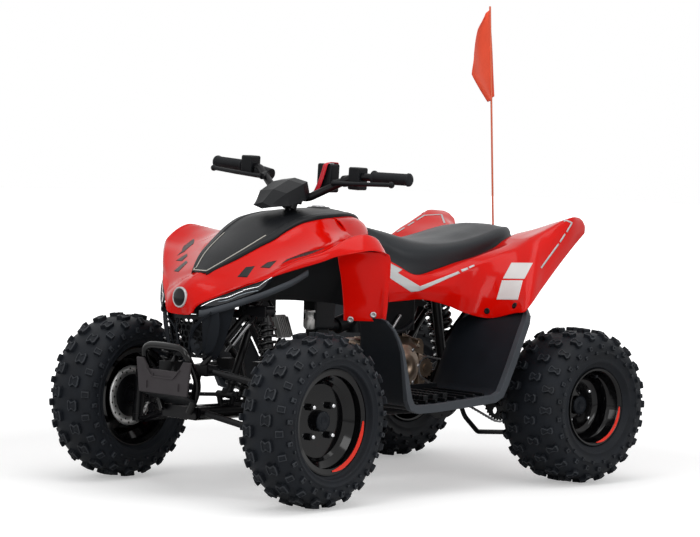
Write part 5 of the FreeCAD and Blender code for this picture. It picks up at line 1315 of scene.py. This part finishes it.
def world_light():
    """Even light, which shows white to the camera and in reflections."""
    world = bpy.data.worlds.new("studio")
    bpy.context.scene.world = world
    world.use_nodes = True
    tree = world.node_tree
    ground = tree.nodes["Background"]
    path = tree.nodes.new("ShaderNodeLightPath").outputs
    seen = math_of(tree, "MAXIMUM", path["Is Camera Ray"], path["Is Transmission Ray"])
    shiny = math_of(tree, "MAXIMUM", seen, path["Is Glossy Ray"])
    ground.inputs["Color"].default_value = WHITE
    tree.links.new(range_of(tree, shiny, SOFT_LEVEL, 1.0), ground.inputs["Strength"])


def soft_lamp(name, spot, aim, size, power):
    lamp = bpy.data.lights.new(name, "AREA")
    lamp.shape = "RECTANGLE"
    lamp.size, lamp.size_y = size
    lamp.energy = power
    holder = bpy.data.objects.new(name, lamp)
    bpy.context.scene.collection.objects.link(holder)
    holder.location = spot
    holder.rotation_euler = (Vector(aim) - Vector(spot)).to_track_quat("-Z", "Y").to_euler()


def floor():
    """White floor, which shows brighter with the distance from the machine."""
    level = min(cad_box[0][2], 0.0)
    mesh = bpy.data.meshes.new("floor")
    corners = [(x * FLOOR_REACH, y * FLOOR_REACH, level) for x, y in ((-1, -1), (1, -1), (1, 1), (-1, 1))]
    mesh.from_pydata(corners, [], [(0, 1, 2, 3)])
    made = bpy.data.materials.new("floor_white")
    made.use_nodes = True
    tree = made.node_tree
    shader = tree.nodes["Principled BSDF"]
    shader.inputs["Base Color"].default_value = (0.9, 0.9, 0.9, 1.0)
    shader.inputs["Roughness"].default_value = 0.7
    shader.inputs["Emission Color"].default_value = WHITE
    distance = tree.nodes.new("ShaderNodeVectorMath")
    distance.operation = "LENGTH"
    tree.links.new(tree.nodes.new("ShaderNodeTexCoord").outputs["Object"], distance.inputs[0])
    brightness = range_of(tree, distance.outputs["Value"], SOFT_LEVEL, 1.0, *FLOOR_FADE)
    seen = tree.nodes.new("ShaderNodeLightPath").outputs["Is Camera Ray"]
    tree.links.new(math_of(tree, "MULTIPLY", seen, brightness), shader.inputs["Emission Strength"])
    mesh.materials.append(made)
    piece = bpy.data.objects.new("floor", mesh)
    bpy.context.scene.collection.objects.link(piece)


def camera():
    data = bpy.data.cameras.new("camera")
    data.lens = CAMERA_LENS
    data.sensor_width = SENSOR_WIDTH
    data.sensor_fit = "HORIZONTAL"
    data.clip_end = 100.0
    holder = bpy.data.objects.new("camera", data)
    bpy.context.scene.collection.objects.link(holder)
    turn = Matrix((CAMERA_RIGHT, CAMERA_UP, -CAMERA_AHEAD)).transposed().to_4x4()
    holder.matrix_world = placed(*CAMERA_SPOT) @ turn
    bpy.context.scene.camera = holder


world_light()
for name, row in LAMPS.items():
    soft_lamp(name, *row)
floor()
camera()
bpy.context.scene.view_settings.view_transform = "Standard"
